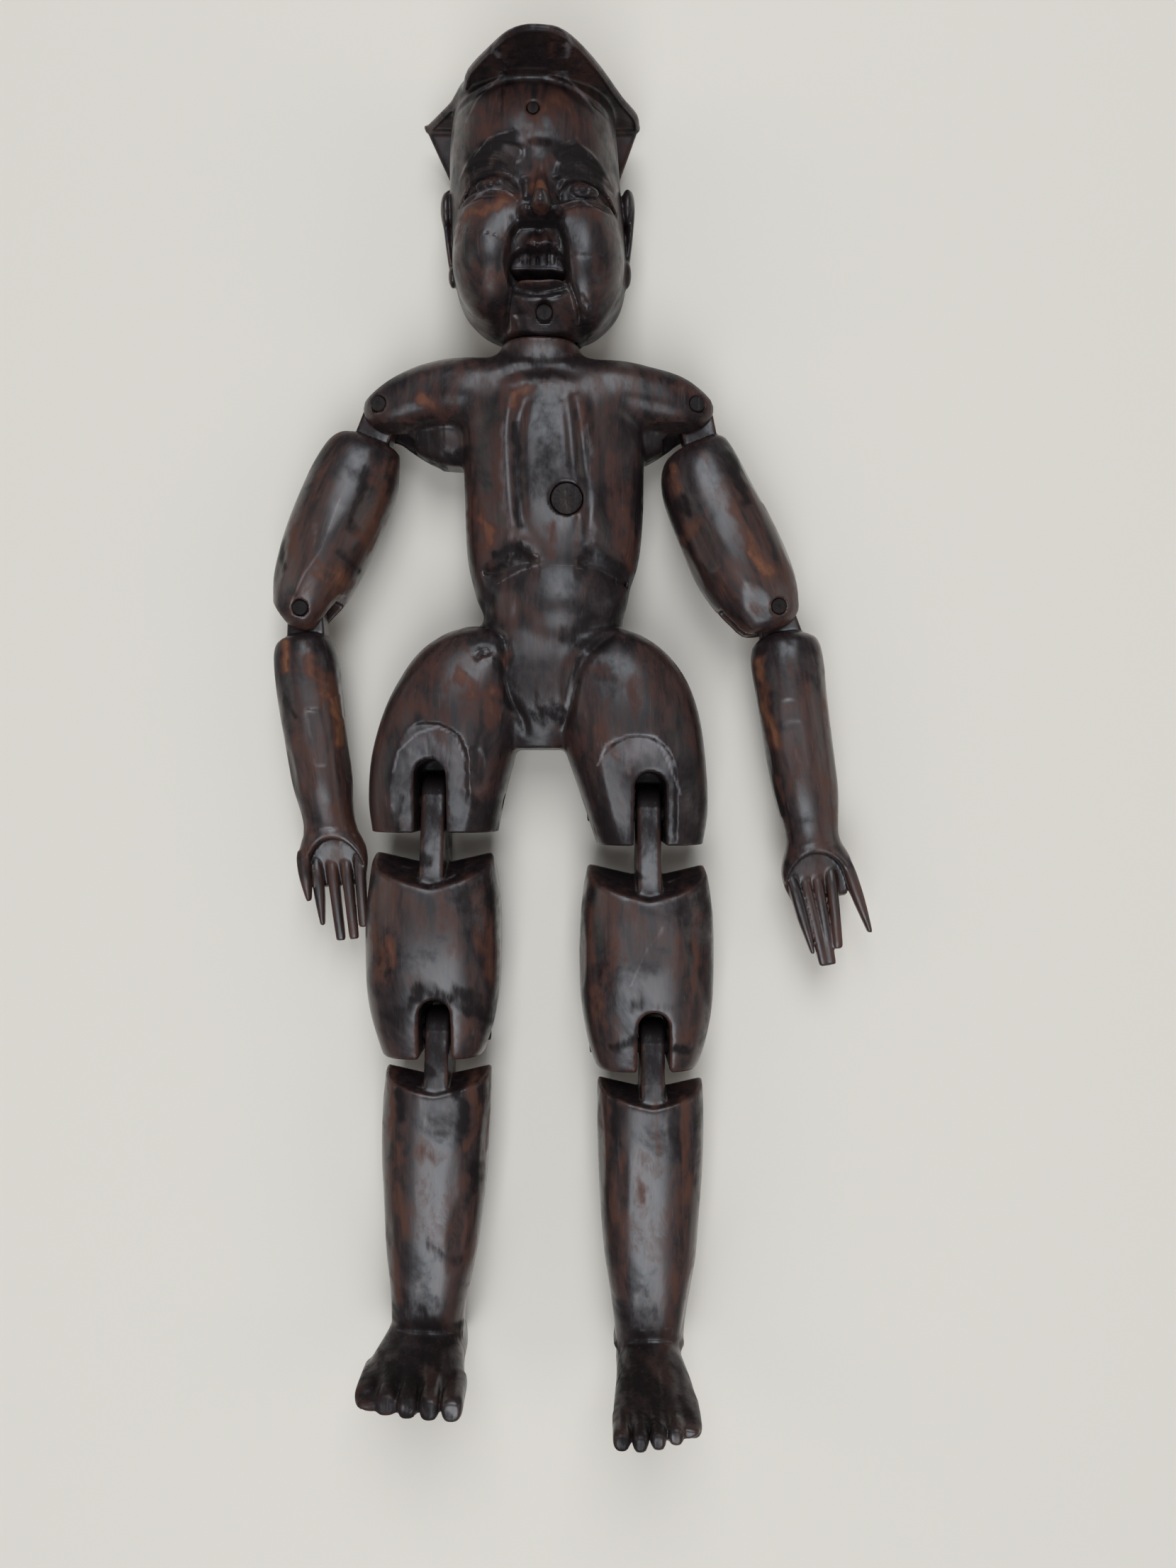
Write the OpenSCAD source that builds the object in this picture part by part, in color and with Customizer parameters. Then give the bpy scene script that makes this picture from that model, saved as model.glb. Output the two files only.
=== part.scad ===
// Carved wooden doll with peg joints, lying on its back.
// +Z is the doll's front, +Y runs towards its head, and +X is the image's right.
// The origin is on the flat of the back, on the midline.

/* [Pegs and joints] */
// Radius of the joint pegs
peg_r = 3; // [2.4:0.1:3.6]
// Height of the joints' middle plane above the rest surface
axis_z = 24; // [22.5:0.5:25]
// Gap round a peg in its hole
peg_fit = 0.05; // [0.02:0.01:0.1]
// Gap on each side of a tongue in its slot
tongue_fit = 0.35; // [0.3:0.05:0.5]
// Thickness of the arm and neck tongues
arm_tongue_t = 10; // [8:0.5:11]
// Thickness of the leg tongues
leg_tongue_t = 9.6; // [8:0.2:11]

/* [Torso] */
// Width of the chest under the arms
chest_w = 72; // [68:1:76]
// Depth of the chest
chest_d = 47; // [45:1:49]
// Length from the crotch to the neck seam
torso_l = 160; // [156:1:164]
// Distance from the rest point down to the crotch
crotch_drop = 90; // [88:1:92]
// How far the chest stands to the right of the midline
chest_lean = 5; // [3:0.5:6]
// Half the distance between the shoulder pegs
shoulder_x = 62.3; // [60:0.5:65]
// Drop from the neck seam to the shoulder pegs
shoulder_drop = 25.3; // [24:0.1:27]
// Distance from a shoulder peg to the outer end of its stub
shoulder_end = 8; // [7.5:0.1:9]
// Distance from the top to the bottom of the shoulder line
shoulder_h = 36; // [34:0.5:38]
// Half the distance between the legs' middle planes
leg_x = 42.5; // [41:0.5:44]
// How far the hip joints stand to the right of those planes
hip_lean = 1.2; // [0.5:0.1:2]
// How far the knee joints stand to the right of those planes
knee_lean = 2.7; // [2:0.1:3]
// Gap on each side of a leg tongue in its slot
leg_fit = 1.2; // [0.8:0.1:1.5]
// Width of a thigh stub
stub_w = 55; // [52:1:57]
// Depth of a thigh stub
stub_d = 51; // [49:1:53]
// Length of the left thigh stub, from its round top to its flat end
stub_l = 81; // [78:1:84]

/* [Neck and head] */
// Place of the neck peg across the neck
neck_peg_x = 3; // [1:0.5:4]
// Rise from the neck seam to the neck peg
neck_rise = 6; // [5:0.5:7]
// Width of the neck and throat
throat_w = 31; // [29:1:33]
// Width of the head without its ears
head_w = 71; // [68:1:74]
// Depth of the head from nape to forehead
head_d = 63; // [61:1:65]
// Height of the head from the jaw to the cap
head_h = 90; // [88:1:92]
// Width of the cap's peak at its corners
peak_w = 87.6; // [84:0.4:90]
// How far the peak stands out from the rest surface
peak_z = 89.4; // [86:0.4:92]
// Thickness of the peak
peak_t = 3; // [2.6:0.1:3.6]
// Height of the cap's crown above the peak
crown_h = 12; // [9:1:14]
// Size of an ear from top to lobe
ear_h = 38; // [35:1:40]
// Thickness of an ear
ear_t = 4.2; // [3.6:0.2:5]
// Radius of the forehead plug
brow_plug_r = 2.1; // [1.6:0.1:2.6]
// Radius of the belly plug
belly_plug_r = 6; // [5:0.2:7]

/* [Arms] */
// Width of an upper arm
arm_w = 37; // [35:0.5:39]
// Depth of an upper arm
arm_d = 34; // [32:0.5:36]
// Distance from the shoulder peg to the elbow peg
arm_l = 85.3; // [83:0.5:88]
// Angle of the left upper arm, out from the body
left_arm_angle = 21.2; // [19:0.2:24]
// Angle of the right upper arm, out from the body
right_arm_angle = 22.2; // [19:0.2:24]
// How far the right arm's middle lies inside the line of its pegs
right_arm_inset = 7; // [5:0.5:8]
// Width of the left forearm
left_forearm_w = 26.4; // [24:0.2:28]
// Width of the right forearm
right_forearm_w = 29; // [27:0.2:31]
// Distance from the elbow peg to the wrist on the left
left_forearm_l = 85; // [82:0.5:88]
// Distance from the elbow peg to the wrist on the right
right_forearm_l = 92; // [89:0.5:95]
// Angle of the left forearm, out from the body
left_forearm_angle = -6; // [-7:0.2:-5]
// Angle of the right forearm, out from the body
right_forearm_angle = 9.4; // [8:0.2:12]
// Width of the left hand
left_hand_w = 26.8; // [25.4:0.2:27.4]
// Width of the right hand
right_hand_w = 28; // [26:0.5:30]
// Length of a palm, wrist to finger roots
palm_l = 25; // [23:0.5:27]
// Length of the longest finger past the palm
finger_l = 23; // [20:0.5:25]
// Thickness of a finger
finger_t = 5; // [4.2:0.1:5.4]

/* [Legs] */
// Distance from the rest point down to the left hip peg
hip_drop = 111; // [110:0.5:112]
// How far the right leg is set below the left one
leg_step = 5; // [4:0.5:6]
// Distance from the hip peg to the knee peg
block_l = 93; // [91:0.5:95]
// Width of a thigh block
block_w = 53.6; // [51:0.5:55]
// Depth of a thigh block
block_d = 46; // [44:0.5:47]
// Width of a shin
shin_w = 44; // [42:0.5:46]
// Depth of a shin
shin_d = 43; // [41:0.5:45]
// Distance from the knee peg to the ankle crease
shin_l = 111.5; // [109:0.5:114]
// Distance from the knee peg to the sole
sole_drop = 134.5; // [132:0.5:137]
// Length of the left foot
left_foot_l = 67; // [64:1:70]
// Length of the right foot
right_foot_l = 77; // [74:1:80]
// Width of the left foot across the toes
left_foot_w = 41.5; // [39:0.5:43]
// Width of the right foot across the toes
right_foot_w = 33; // [31:1:36]

/* [Hidden] */

left = -1;
right = 1;
overrun = peg_r * 2;
bore_r = peg_r + peg_fit;
arm_slot_t = arm_tongue_t + tongue_fit * 2;
leg_slot_t = leg_tongue_t + leg_fit * 2;
ebony = [0.14, 0.10, 0.09];
stained = [0.20, 0.13, 0.10];
peg_wood = [0.11, 0.09, 0.08];

// Smooth value of one column of a table at a place u, counted in rows
function row_at(rows, i) = rows[min(max(i, 0), len(rows) - 1)];
function curve(a, b, c, d, t) =
    b + (c - a) * t / 2 + (a * 2 - b * 5 + c * 4 - d) * t * t / 2
    + (b * 3 - a - c * 3 + d) * t * t * t / 2;
function row_between(rows, u) = let (i = min(floor(u), len(rows) - 2))
    curve(row_at(rows, i - 1), row_at(rows, i), row_at(rows, i + 1), row_at(rows, i + 2), u - i);

// A table row holds shares: along the length, middle and half width, front and back of the depth
function sized(shares, l, w, d) =
    [for (r = shares) [r[0] * l, r[1] * w, r[2] * w, r[3] * d, r[4] * d]];
function bulge(a, box) = sign(a) * pow(abs(a), 2 / box);
function ring(r, sides, box) = [for (k = [0:sides - 1]) let (a = 360 * k / sides)
    [r[1] + r[2] * bulge(cos(a), box), r[0], (sin(a) > 0 ? r[3] : r[4]) * bulge(sin(a), box)]];

// A carved form along Y, with rings of the given number of sides; box 2 is an oval, more is squarer
module carved(rows, sides = 24, steps = 2, box = 2.3) {
    count = (len(rows) - 1) * steps;
    rings = [for (i = [0:count]) ring(row_between(rows, i / steps), sides, box)];
    points = [for (r = rings) for (p = r) p];
    low_end = [for (k = [0:sides - 1]) sides - 1 - k];
    high_end = [for (k = [0:sides - 1]) count * sides + k];
    skin = [for (i = [0:count - 1]) for (k = [0:sides - 1]) let (
        a = i * sides + k,
        b = i * sides + (k + 1) % sides)
        each [[a, b, b + sides], [a, b + sides, a + sides]]];
    polyhedron(points, concat([low_end, high_end], skin), convexity = 6);
}

// Everything below the rest surface is planed off
module planed_flat(reach) {
    difference() {
        children();
        translate([-reach, -reach, -reach]) cube([reach * 2, reach * 2, reach]);
    }
}

// A flat tongue in the XY plane: round about the peg, widening down to its root
module arm_tongue(r, root_half, root_x, root_y, t) {
    translate([0, 0, -t / 2]) linear_extrude(t) {
        circle(r, $fn = 64);
        polygon([[-r, 0], [r, 0], [root_x + root_half, -root_y], [root_x - root_half, -root_y]]);
    }
}

// A flat tongue in the YZ plane for a leg
module leg_tongue(r, root_front, root_back, root_y, t) {
    rotate([90, 0, 90]) translate([0, 0, -t / 2]) linear_extrude(t) {
        circle(r, $fn = 64);
        polygon([[0, r], [-root_y, root_front], [-root_y, -root_back], [0, -r]]);
    }
}

module peg_hole_z(l) {
    cylinder(h = l, r = bore_r, center = true, $fn = 48);
}

module peg_hole_x(l) {
    rotate([0, 90, 0]) cylinder(h = l, r = bore_r, center = true, $fn = 48);
}

// A slot for a leg tongue: open below, in front and behind, its round top higher in front
module leg_slot(top_y, back_y, reach) {
    translate([0, top_y - leg_slot_t / 2, 0]) cylinder(h = reach, r = leg_slot_t / 2, $fn = 48);
    translate([-leg_slot_t / 2, top_y - leg_slot_t / 2 - reach, 0]) cube([leg_slot_t, reach, reach]);
    translate([0, back_y - leg_slot_t / 2, -reach]) cylinder(h = reach * 2, r = leg_slot_t / 2, $fn = 48);
    translate([-leg_slot_t / 2, back_y - leg_slot_t / 2 - reach, -reach])
        cube([leg_slot_t, reach, reach * 2]);
    rotate([0, 90, 0]) cylinder(h = leg_slot_t, r = back_y, center = true, $fn = 64);
}

// Torso

neck_seam_y = torso_l - crotch_drop;
neck_peg_y = neck_seam_y + neck_rise;
shoulder_y = neck_seam_y - shoulder_drop;
neck_tongue_r = 7.4;
arm_tongue_r = 7;
leg_tongue_r = 11;
stub_end_drop = hip_drop + peg_r * 4;
leg_slot_rise = leg_tongue_r + peg_r * 1.9;
leg_slot_back = leg_tongue_r + tongue_fit * 3;
arm_gap = peg_r / 3;
arm_start = arm_tongue_r + peg_r * 1.5 + arm_gap / 2;

// Crotch, groin, belly, waist, ribs, chest, collar and neck
trunk_shares = [
    [0.00, 0.00, 0.17, 0.28, 0.25],
    [0.09, 0.00, 0.32, 0.41, 0.40],
    [0.19, 0.01, 0.41, 0.45, 0.46],
    [0.26, 0.03, 0.42, 0.45, 0.43],
    [0.32, 0.065, 0.375, 0.44, 0.36],
    [0.38, 0.07, 0.42, 0.43, 0.44],
    [0.46, 0.08, 0.470, 0.47, 0.52],
    [0.55, 0.085, 0.49, 0.485, 0.53],
    [0.66, 0.085, 0.500, 0.49, 0.53],
    [0.76, 0.08, 0.505, 0.49, 0.53],
    [0.85, 0.05, 0.50, 0.45, 0.53],
    [0.92, 0.02, 0.40, 0.38, 0.46],
    [0.965, 0.01, 0.26, 0.35, 0.34],
    [1.00, 0.01, 0.215, 0.36, 0.28]];
// From one shoulder's end to the other: along, middle and half height, front and back
girdle_shares = [
    [-1.00, 0.00, 0.05, 0.07, 0.10],
    [-0.975, 0.00, 0.135, 0.18, 0.22],
    [-0.90, 0.005, 0.25, 0.29, 0.32],
    [-0.80, 0.05, 0.335, 0.34, 0.38],
    [-0.64, 0.14, 0.37, 0.38, 0.44],
    [-0.42, 0.18, 0.395, 0.41, 0.47],
    [0.00, 0.10, 0.46, 0.40, 0.48],
    [0.42, 0.16, 0.385, 0.41, 0.47],
    [0.64, 0.11, 0.36, 0.38, 0.44],
    [0.80, 0.05, 0.33, 0.34, 0.38],
    [0.90, 0.01, 0.25, 0.29, 0.32],
    [0.975, 0.00, 0.135, 0.18, 0.22],
    [1.00, 0.00, 0.05, 0.07, 0.10]];
// The armpits' slope behind the shoulder line, measured the same way
armpit_shares = [
    [-0.84, -0.02, 0.20, 0.10, 0.38],
    [-0.74, -0.05, 0.33, 0.14, 0.44],
    [-0.60, -0.12, 0.42, 0.16, 0.47],
    [-0.44, -0.16, 0.44, 0.18, 0.48],
    [0.44, -0.16, 0.44, 0.18, 0.48],
    [0.60, -0.12, 0.42, 0.16, 0.47],
    [0.74, -0.05, 0.33, 0.14, 0.44],
    [0.84, -0.02, 0.20, 0.10, 0.38]];
// A thigh stub from its flat end up to its round top; middle is towards the outside
left_stub_shares = [
    [0.00, -0.02, 0.455, 0.40, 0.42],
    [0.16, -0.03, 0.49, 0.46, 0.47],
    [0.38, -0.085, 0.515, 0.51, 0.485],
    [0.60, -0.17, 0.51, 0.53, 0.485],
    [0.76, -0.25, 0.47, 0.51, 0.46],
    [0.88, -0.32, 0.41, 0.45, 0.40],
    [0.96, -0.37, 0.30, 0.36, 0.30],
    [1.00, -0.38, 0.16, 0.22, 0.17]];
right_stub_shares = [
    [0.00, 0.035, 0.385, 0.40, 0.42],
    [0.16, 0.010, 0.445, 0.46, 0.47],
    [0.38, -0.055, 0.495, 0.51, 0.485],
    [0.60, -0.14, 0.53, 0.53, 0.485],
    [0.76, -0.21, 0.51, 0.51, 0.46],
    [0.88, -0.285, 0.445, 0.45, 0.40],
    [0.96, -0.34, 0.33, 0.36, 0.30],
    [1.00, -0.36, 0.18, 0.22, 0.17]];

function arm_angle(side) = side == left ? left_arm_angle : right_arm_angle;
function stub_drop(side) = stub_end_drop + (side == right ? leg_step : 0);
function hip_x(side) = side * leg_x + hip_lean;
function knee_x(side) = side * leg_x + knee_lean;
function hip_y(side) = -hip_drop - (side == right ? leg_step : 0);

module thigh_stub(side) {
    drop = stub_drop(side);
    shares = side == left ? left_stub_shares : right_stub_shares;
    rows = sized(shares, stub_l + drop - stub_drop(left), stub_w, stub_d);
    translate([side * leg_x, -drop, axis_z]) mirror([side == left ? 1 : 0, 0, 0]) carved(rows, 28, 2, 2.6);
}

module shoulder_girdle() {
    translate([0, shoulder_y, axis_z]) rotate([0, 0, 90]) mirror([0, 1, 0]) {
        carved(sized(girdle_shares, shoulder_x + shoulder_end, shoulder_h, chest_d), 24, 2, 2.4);
        carved(sized(armpit_shares, shoulder_x + shoulder_end, shoulder_h, chest_d), 20, 1, 2.6);
    }
}

// The arch-shaped flat in front of a hip slot
module stub_flat(side) {
    flat_w = stub_w * 0.26;
    arch_y = hip_y(side) + stub_l * 0.375;
    translate([hip_x(side), arch_y, axis_z + stub_d * 0.475]) rotate([13, 0, 0])
        translate([0, -flat_w, 0]) {
            cylinder(h = stub_d, r = flat_w, $fn = 48);
            translate([-flat_w, -stub_l, 0]) cube([flat_w * 2, stub_l, stub_d]);
        }
}

module shoulder_slot(side) {
    slot_r = arm_tongue_r + tongue_fit * 2;
    slot_reach = shoulder_end + overrun;
    translate([side * shoulder_x, shoulder_y, axis_z]) mirror([side == left ? 1 : 0, 0, 0]) {
        cylinder(h = arm_slot_t, r = slot_r, center = true, $fn = 48);
        translate([-slot_r - arm_gap * 5, -shoulder_h, -arm_slot_t / 2])
            cube([slot_r + arm_gap * 5 + slot_reach, shoulder_h, arm_slot_t]);
        translate([0, -shoulder_h, -arm_slot_t / 2])
            cube([slot_reach, shoulder_h + slot_r * 0.7, arm_slot_t]);
        peg_hole_z(chest_d * 2);
    }
}

// What lies past the arm's round top is cut from the stub, square to the arm
module arm_room(side) {
    translate([side * shoulder_x, shoulder_y, -overrun]) mirror([side == left ? 1 : 0, 0, 0])
        rotate([0, 0, arm_angle(side)])
        translate([-shoulder_end * 1.6, -shoulder_h * 2 - arm_start + arm_gap, 0])
            cube([shoulder_h * 2, shoulder_h * 2, chest_d * 2]);
}

module hip_slot(side) {
    translate([hip_x(side), hip_y(side), axis_z]) {
        leg_slot(leg_slot_rise, leg_slot_back, stub_d);
        peg_hole_x(stub_w * 2);
    }
}

module neck_tongue() {
    translate([neck_peg_x, neck_peg_y, axis_z])
        arm_tongue(neck_tongue_r, throat_w * 0.33, 0, neck_peg_y - neck_seam_y + overrun, arm_tongue_t);
}

// The belly plug stands a little right of the chest's own middle
belly_plug_x = chest_lean + chest_w * 0.09;
belly_plug_y = torso_l * 0.036;
belly_plug_top = axis_z + chest_d * 0.47;
belly_plug_l = belly_plug_r * 2;

module belly_bore() {
    translate([belly_plug_x, belly_plug_y, belly_plug_top - belly_plug_l])
        cylinder(h = belly_plug_l + overrun, r = belly_plug_r + peg_fit, $fn = 48);
}

module belly_plug() {
    color(peg_wood) translate([belly_plug_x, belly_plug_y, belly_plug_top - belly_plug_l])
        cylinder(h = belly_plug_l, r = belly_plug_r, $fn = 48);
}

// Room on both sides of the neck seam, so that the head can tip; up removes what lies above the line
module seam_room(up, slope) {
    for (a = [-slope, slope]) translate([neck_peg_x, neck_peg_y, 0]) rotate([0, 0, a])
        translate([-throat_w, (up ? neck_seam_y : head_foot_y - throat_w) - neck_peg_y, -overrun])
            cube([throat_w * 2, throat_w, head_d * 2]);
}

module torso() {
    color(ebony) planed_flat(torso_l * 2) difference() {
        union() {
            difference() {
                translate([0, -crotch_drop, axis_z])
                    carved(sized(trunk_shares, torso_l, chest_w, chest_d), 32, 2, 2.5);
                seam_room(true, 3);
            }
            shoulder_girdle();
            thigh_stub(left);
            thigh_stub(right);
            neck_tongue();
        }
        for (side = [left, right]) {
            arm_room(side);
            shoulder_slot(side);
            stub_flat(side);
            hip_slot(side);
        }
        translate([neck_peg_x, neck_peg_y, axis_z]) peg_hole_z(chest_d);
        belly_bore();
    }
}

// Head and cap

// Jaw, cheeks, brow, forehead, cap band, crown; middle, half width, front, back
skull_shares = [
    [0.000, 0.015, 0.200, 0.22, 0.12],
    [0.050, 0.015, 0.330, 0.31, 0.22],
    [0.135, 0.015, 0.430, 0.42, 0.31],
    [0.240, 0.012, 0.475, 0.515, 0.36],
    [0.360, 0.006, 0.485, 0.560, 0.39],
    [0.500, -0.004, 0.485, 0.575, 0.395],
    [0.640, -0.016, 0.480, 0.595, 0.395],
    [0.780, -0.024, 0.475, 0.610, 0.390],
    [0.900, -0.026, 0.465, 0.590, 0.380],
    [1.000, -0.026, 0.450, 0.560, 0.365]];
crown_shares = [
    [0.00, -0.026, 0.46, 0.56, 0.375],
    [0.30, -0.026, 0.44, 0.50, 0.37],
    [0.62, -0.026, 0.38, 0.42, 0.33],
    [0.88, -0.026, 0.28, 0.31, 0.24],
    [1.00, -0.026, 0.16, 0.18, 0.14]];
// The peak's outline seen along the head: across and forward, and the wings behind it: across and back
peak_shares = [
    [-0.535, -0.104], [0.465, -0.104], [0.451, 0.061], [0.380, 0.265], [0.277, 0.607], [0.183, 0.855],
    [0.112, 0.971], [0.041, 1.000], [-0.031, 0.997], [-0.105, 0.937], [-0.187, 0.787],
    [-0.287, 0.566], [-0.347, 0.309]];
wing_shares = [[-0.535, 0], [0.465, 0], [0.375, -0.29], [-0.435, -0.29]];
// An ear, from its lobe up: shares of its height, then of the head's width and depth
ear_shares = [
    [-0.50, -0.015, 0.20, 0.06, 0.06],
    [-0.38, -0.010, 0.40, 0.12, 0.13],
    [-0.10, 0.005, 0.46, 0.15, 0.17],
    [0.20, 0.012, 0.50, 0.18, 0.19],
    [0.40, 0.012, 0.44, 0.14, 0.15],
    [0.50, 0.005, 0.20, 0.06, 0.06]];
// The throat, from the neck seam up to the lower lip
throat_shares = [
    [0.00, 0.00, 0.50, 0.29, 0.10],
    [0.25, 0.00, 0.51, 0.36, 0.10],
    [0.50, 0.00, 0.52, 0.45, 0.10],
    [0.75, 0.00, 0.52, 0.53, 0.10],
    [1.00, 0.00, 0.48, 0.56, 0.10]];
// The nose, from its flat underside up to the brow
nose_shares = [
    [0.00, 0.00, 0.115, 0.80, 0.10],
    [0.16, 0.00, 0.110, 0.84, 0.10],
    [0.45, 0.00, 0.075, 0.72, 0.10],
    [0.80, 0.00, 0.055, 0.63, 0.10],
    [1.00, 0.00, 0.045, 0.57, 0.10]];
head_foot_y = neck_seam_y + tongue_fit;
jaw_y = neck_seam_y + tongue_fit * 6;
throat_l = head_h * 0.20;
nose_y = jaw_y + head_h * 0.345;
nose_l = head_h * 0.27;
mouth_y = jaw_y + head_h * 0.188;
peak_y = jaw_y + head_h * 0.99;

// The cap's peak: a plate that dips towards its front, with wings that run back and down
module peak() {
    reach = peak_z - axis_z;
    crease_z = reach * -0.104;
    translate([0, peak_y, 0]) rotate([93, 0, 0]) translate([0, 0, -peak_t]) linear_extrude(peak_t)
        polygon([for (p = peak_shares) [p[0] * peak_w, p[1] * reach]]);
    translate([0, peak_y, crease_z]) rotate([45, 0, 0]) translate([0, 0, -peak_t]) linear_extrude(peak_t)
        polygon([for (p = wing_shares) [p[0] * peak_w, p[1] * reach]]);
}

module ear(side) {
    rows = [for (r = ear_shares) [r[0] * ear_h, r[1] * head_w, r[2] * ear_t, r[3] * head_d, r[4] * head_d]];
    translate([side * head_w * 0.484, jaw_y + head_h * 0.495, -head_d * 0.07])
        mirror([side == left ? 1 : 0, 0, 0]) rotate([0, 12, 0]) carved(rows, 16, 2, 2);
}

module mouth() {
    half = head_w * 0.115;
    h = head_h * 0.026;
    translate([chest_lean * 0.3, mouth_y, head_d * 0.40]) linear_extrude(head_d) {
        translate([-half, -h]) square([half * 2, h * 2]);
        for (x = [-half, half]) translate([x, 0]) circle(h, $fn = 24);
    }
}

// One eye: a low rounded mound in its socket
module eye(side) {
    rows = [for (a = [-1:0.25:1]) [a * head_w * 0.13, 0, head_h * 0.05 * sqrt(1.02 - a * a),
        head_d * 0.06 * sqrt(1.02 - a * a), head_d * 0.06]];
    translate([side * head_w * 0.235, jaw_y + head_h * 0.535, head_d * 0.50])
        rotate([0, side * 14, 90]) carved(rows, 12, 1, 2);
}

// The fork that takes the neck's tongue, bevelled so that the head can tip
module neck_fork_room() {
    slot_r = neck_tongue_r + tongue_fit;
    half = throat_w * 0.33 + tongue_fit * 6;
    translate([neck_peg_x, neck_peg_y, axis_z]) {
        cylinder(h = arm_slot_t, r = slot_r, center = true, $fn = 48);
        translate([-half, -overrun * 4, -arm_slot_t / 2]) cube([half * 2, overrun * 4, arm_slot_t]);
        peg_hole_z(head_d * 2);
    }
}

module head() {
    color(ebony) planed_flat(head_h * 3) difference() {
        translate([0, 0, axis_z]) {
            translate([0, jaw_y, 0]) carved(sized(skull_shares, head_h, head_w, head_d), 32, 2, 2.25);
            translate([0, peak_y + peak_t / 2, 0])
                carved(sized(crown_shares, crown_h + peak_t, head_w, head_d), 28, 2, 2.4);
            translate([chest_lean * 0.3, head_foot_y, 0])
                carved(sized(throat_shares, throat_l, throat_w, head_d), 20, 1, 2.6);
            translate([chest_lean * 0.3, nose_y, 0])
                carved(sized(nose_shares, nose_l, head_w, head_d), 14, 1, 2);
            peak();
            for (side = [left, right]) {
                ear(side);
                eye(side);
            }
        }
        translate([0, 0, axis_z]) mouth();
        neck_fork_room();
        seam_room(false, 4);
        forehead_bore();
    }
}

forehead_plug_y = jaw_y + head_h * 0.83;
forehead_plug_top = axis_z + head_d * 0.60;
forehead_plug_l = brow_plug_r * 3;

module forehead_bore() {
    translate([-head_w * 0.01, forehead_plug_y, forehead_plug_top - forehead_plug_l])
        cylinder(h = forehead_plug_l + overrun, r = brow_plug_r + peg_fit, $fn = 32);
}

module forehead_plug() {
    color(peg_wood) translate([-head_w * 0.01, forehead_plug_y, forehead_plug_top - forehead_plug_l])
        cylinder(h = forehead_plug_l, r = brow_plug_r, $fn = 32);
}

module neck_pin() {
    front = axis_z + head_d * 0.40;
    back = axis_z - head_d * 0.22;
    color(peg_wood) translate([neck_peg_x, neck_peg_y, back])
        cylinder(h = front - back, r = peg_r, $fn = 48);
}

// Arms

// From the elbow end up to the round top under the shoulder: shares of the length from peg to peg
left_arm_shares = [
    [-1.095, 0.05, 0.14, 0.17, 0.17],
    [-1.085, 0.05, 0.21, 0.26, 0.26],
    [-1.045, 0.06, 0.28, 0.36, 0.36],
    [-0.990, 0.065, 0.325, 0.41, 0.41],
    [-0.900, 0.06, 0.400, 0.46, 0.46],
    [-0.760, 0.055, 0.455, 0.49, 0.49],
    [-0.600, 0.05, 0.480, 0.50, 0.50],
    [-0.440, 0.04, 0.485, 0.49, 0.49],
    [-0.300, 0.03, 0.450, 0.45, 0.45],
    [-0.210, 0.03, 0.380, 0.38, 0.38],
    [-0.160, 0.03, 0.280, 0.28, 0.28],
    [-0.142, 0.03, 0.130, 0.14, 0.14]];
right_arm_shares = [
    [-1.095, 0.09, 0.16, 0.17, 0.17],
    [-1.085, 0.09, 0.25, 0.26, 0.26],
    [-1.045, 0.09, 0.35, 0.36, 0.36],
    [-0.990, 0.085, 0.400, 0.41, 0.41],
    [-0.900, 0.07, 0.465, 0.46, 0.46],
    [-0.760, 0.04, 0.510, 0.49, 0.49],
    [-0.600, 0.02, 0.510, 0.50, 0.50],
    [-0.440, 0.00, 0.490, 0.49, 0.49],
    [-0.300, 0.00, 0.450, 0.45, 0.45],
    [-0.210, 0.00, 0.380, 0.38, 0.38],
    [-0.160, 0.00, 0.280, 0.28, 0.28],
    [-0.142, 0.00, 0.130, 0.14, 0.14]];
// From the wrist up to the elbow; middle is towards the outside
left_forearm_shares = [
    [-1.02, 0.00, 0.36, 0.32, 0.32],
    [-0.92, 0.02, 0.40, 0.37, 0.37],
    [-0.80, 0.04, 0.45, 0.42, 0.42],
    [-0.60, 0.07, 0.465, 0.45, 0.45],
    [-0.40, 0.09, 0.485, 0.48, 0.48],
    [-0.24, 0.09, 0.485, 0.49, 0.49],
    [-0.16, 0.09, 0.445, 0.45, 0.45],
    [-0.125, 0.09, 0.37, 0.38, 0.38]];
right_forearm_shares = [
    [-1.02, 0.01, 0.34, 0.32, 0.32],
    [-0.92, 0.02, 0.395, 0.37, 0.37],
    [-0.80, 0.025, 0.445, 0.42, 0.42],
    [-0.60, 0.03, 0.465, 0.45, 0.45],
    [-0.40, 0.05, 0.48, 0.48, 0.48],
    [-0.24, 0.06, 0.495, 0.49, 0.49],
    [-0.16, 0.065, 0.46, 0.45, 0.45],
    [-0.125, 0.07, 0.39, 0.38, 0.38]];
// A palm, from the finger roots up into the wrist
palm_shares = [
    [-1.05, 0.00, 0.44, 0.17, 0.30],
    [-0.75, 0.00, 0.50, 0.26, 0.33],
    [-0.45, 0.00, 0.50, 0.32, 0.32],
    [-0.15, 0.00, 0.40, 0.31, 0.28],
    [0.05, 0.00, 0.34, 0.29, 0.28],
    [0.20, 0.00, 0.32, 0.29, 0.28]];
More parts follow.
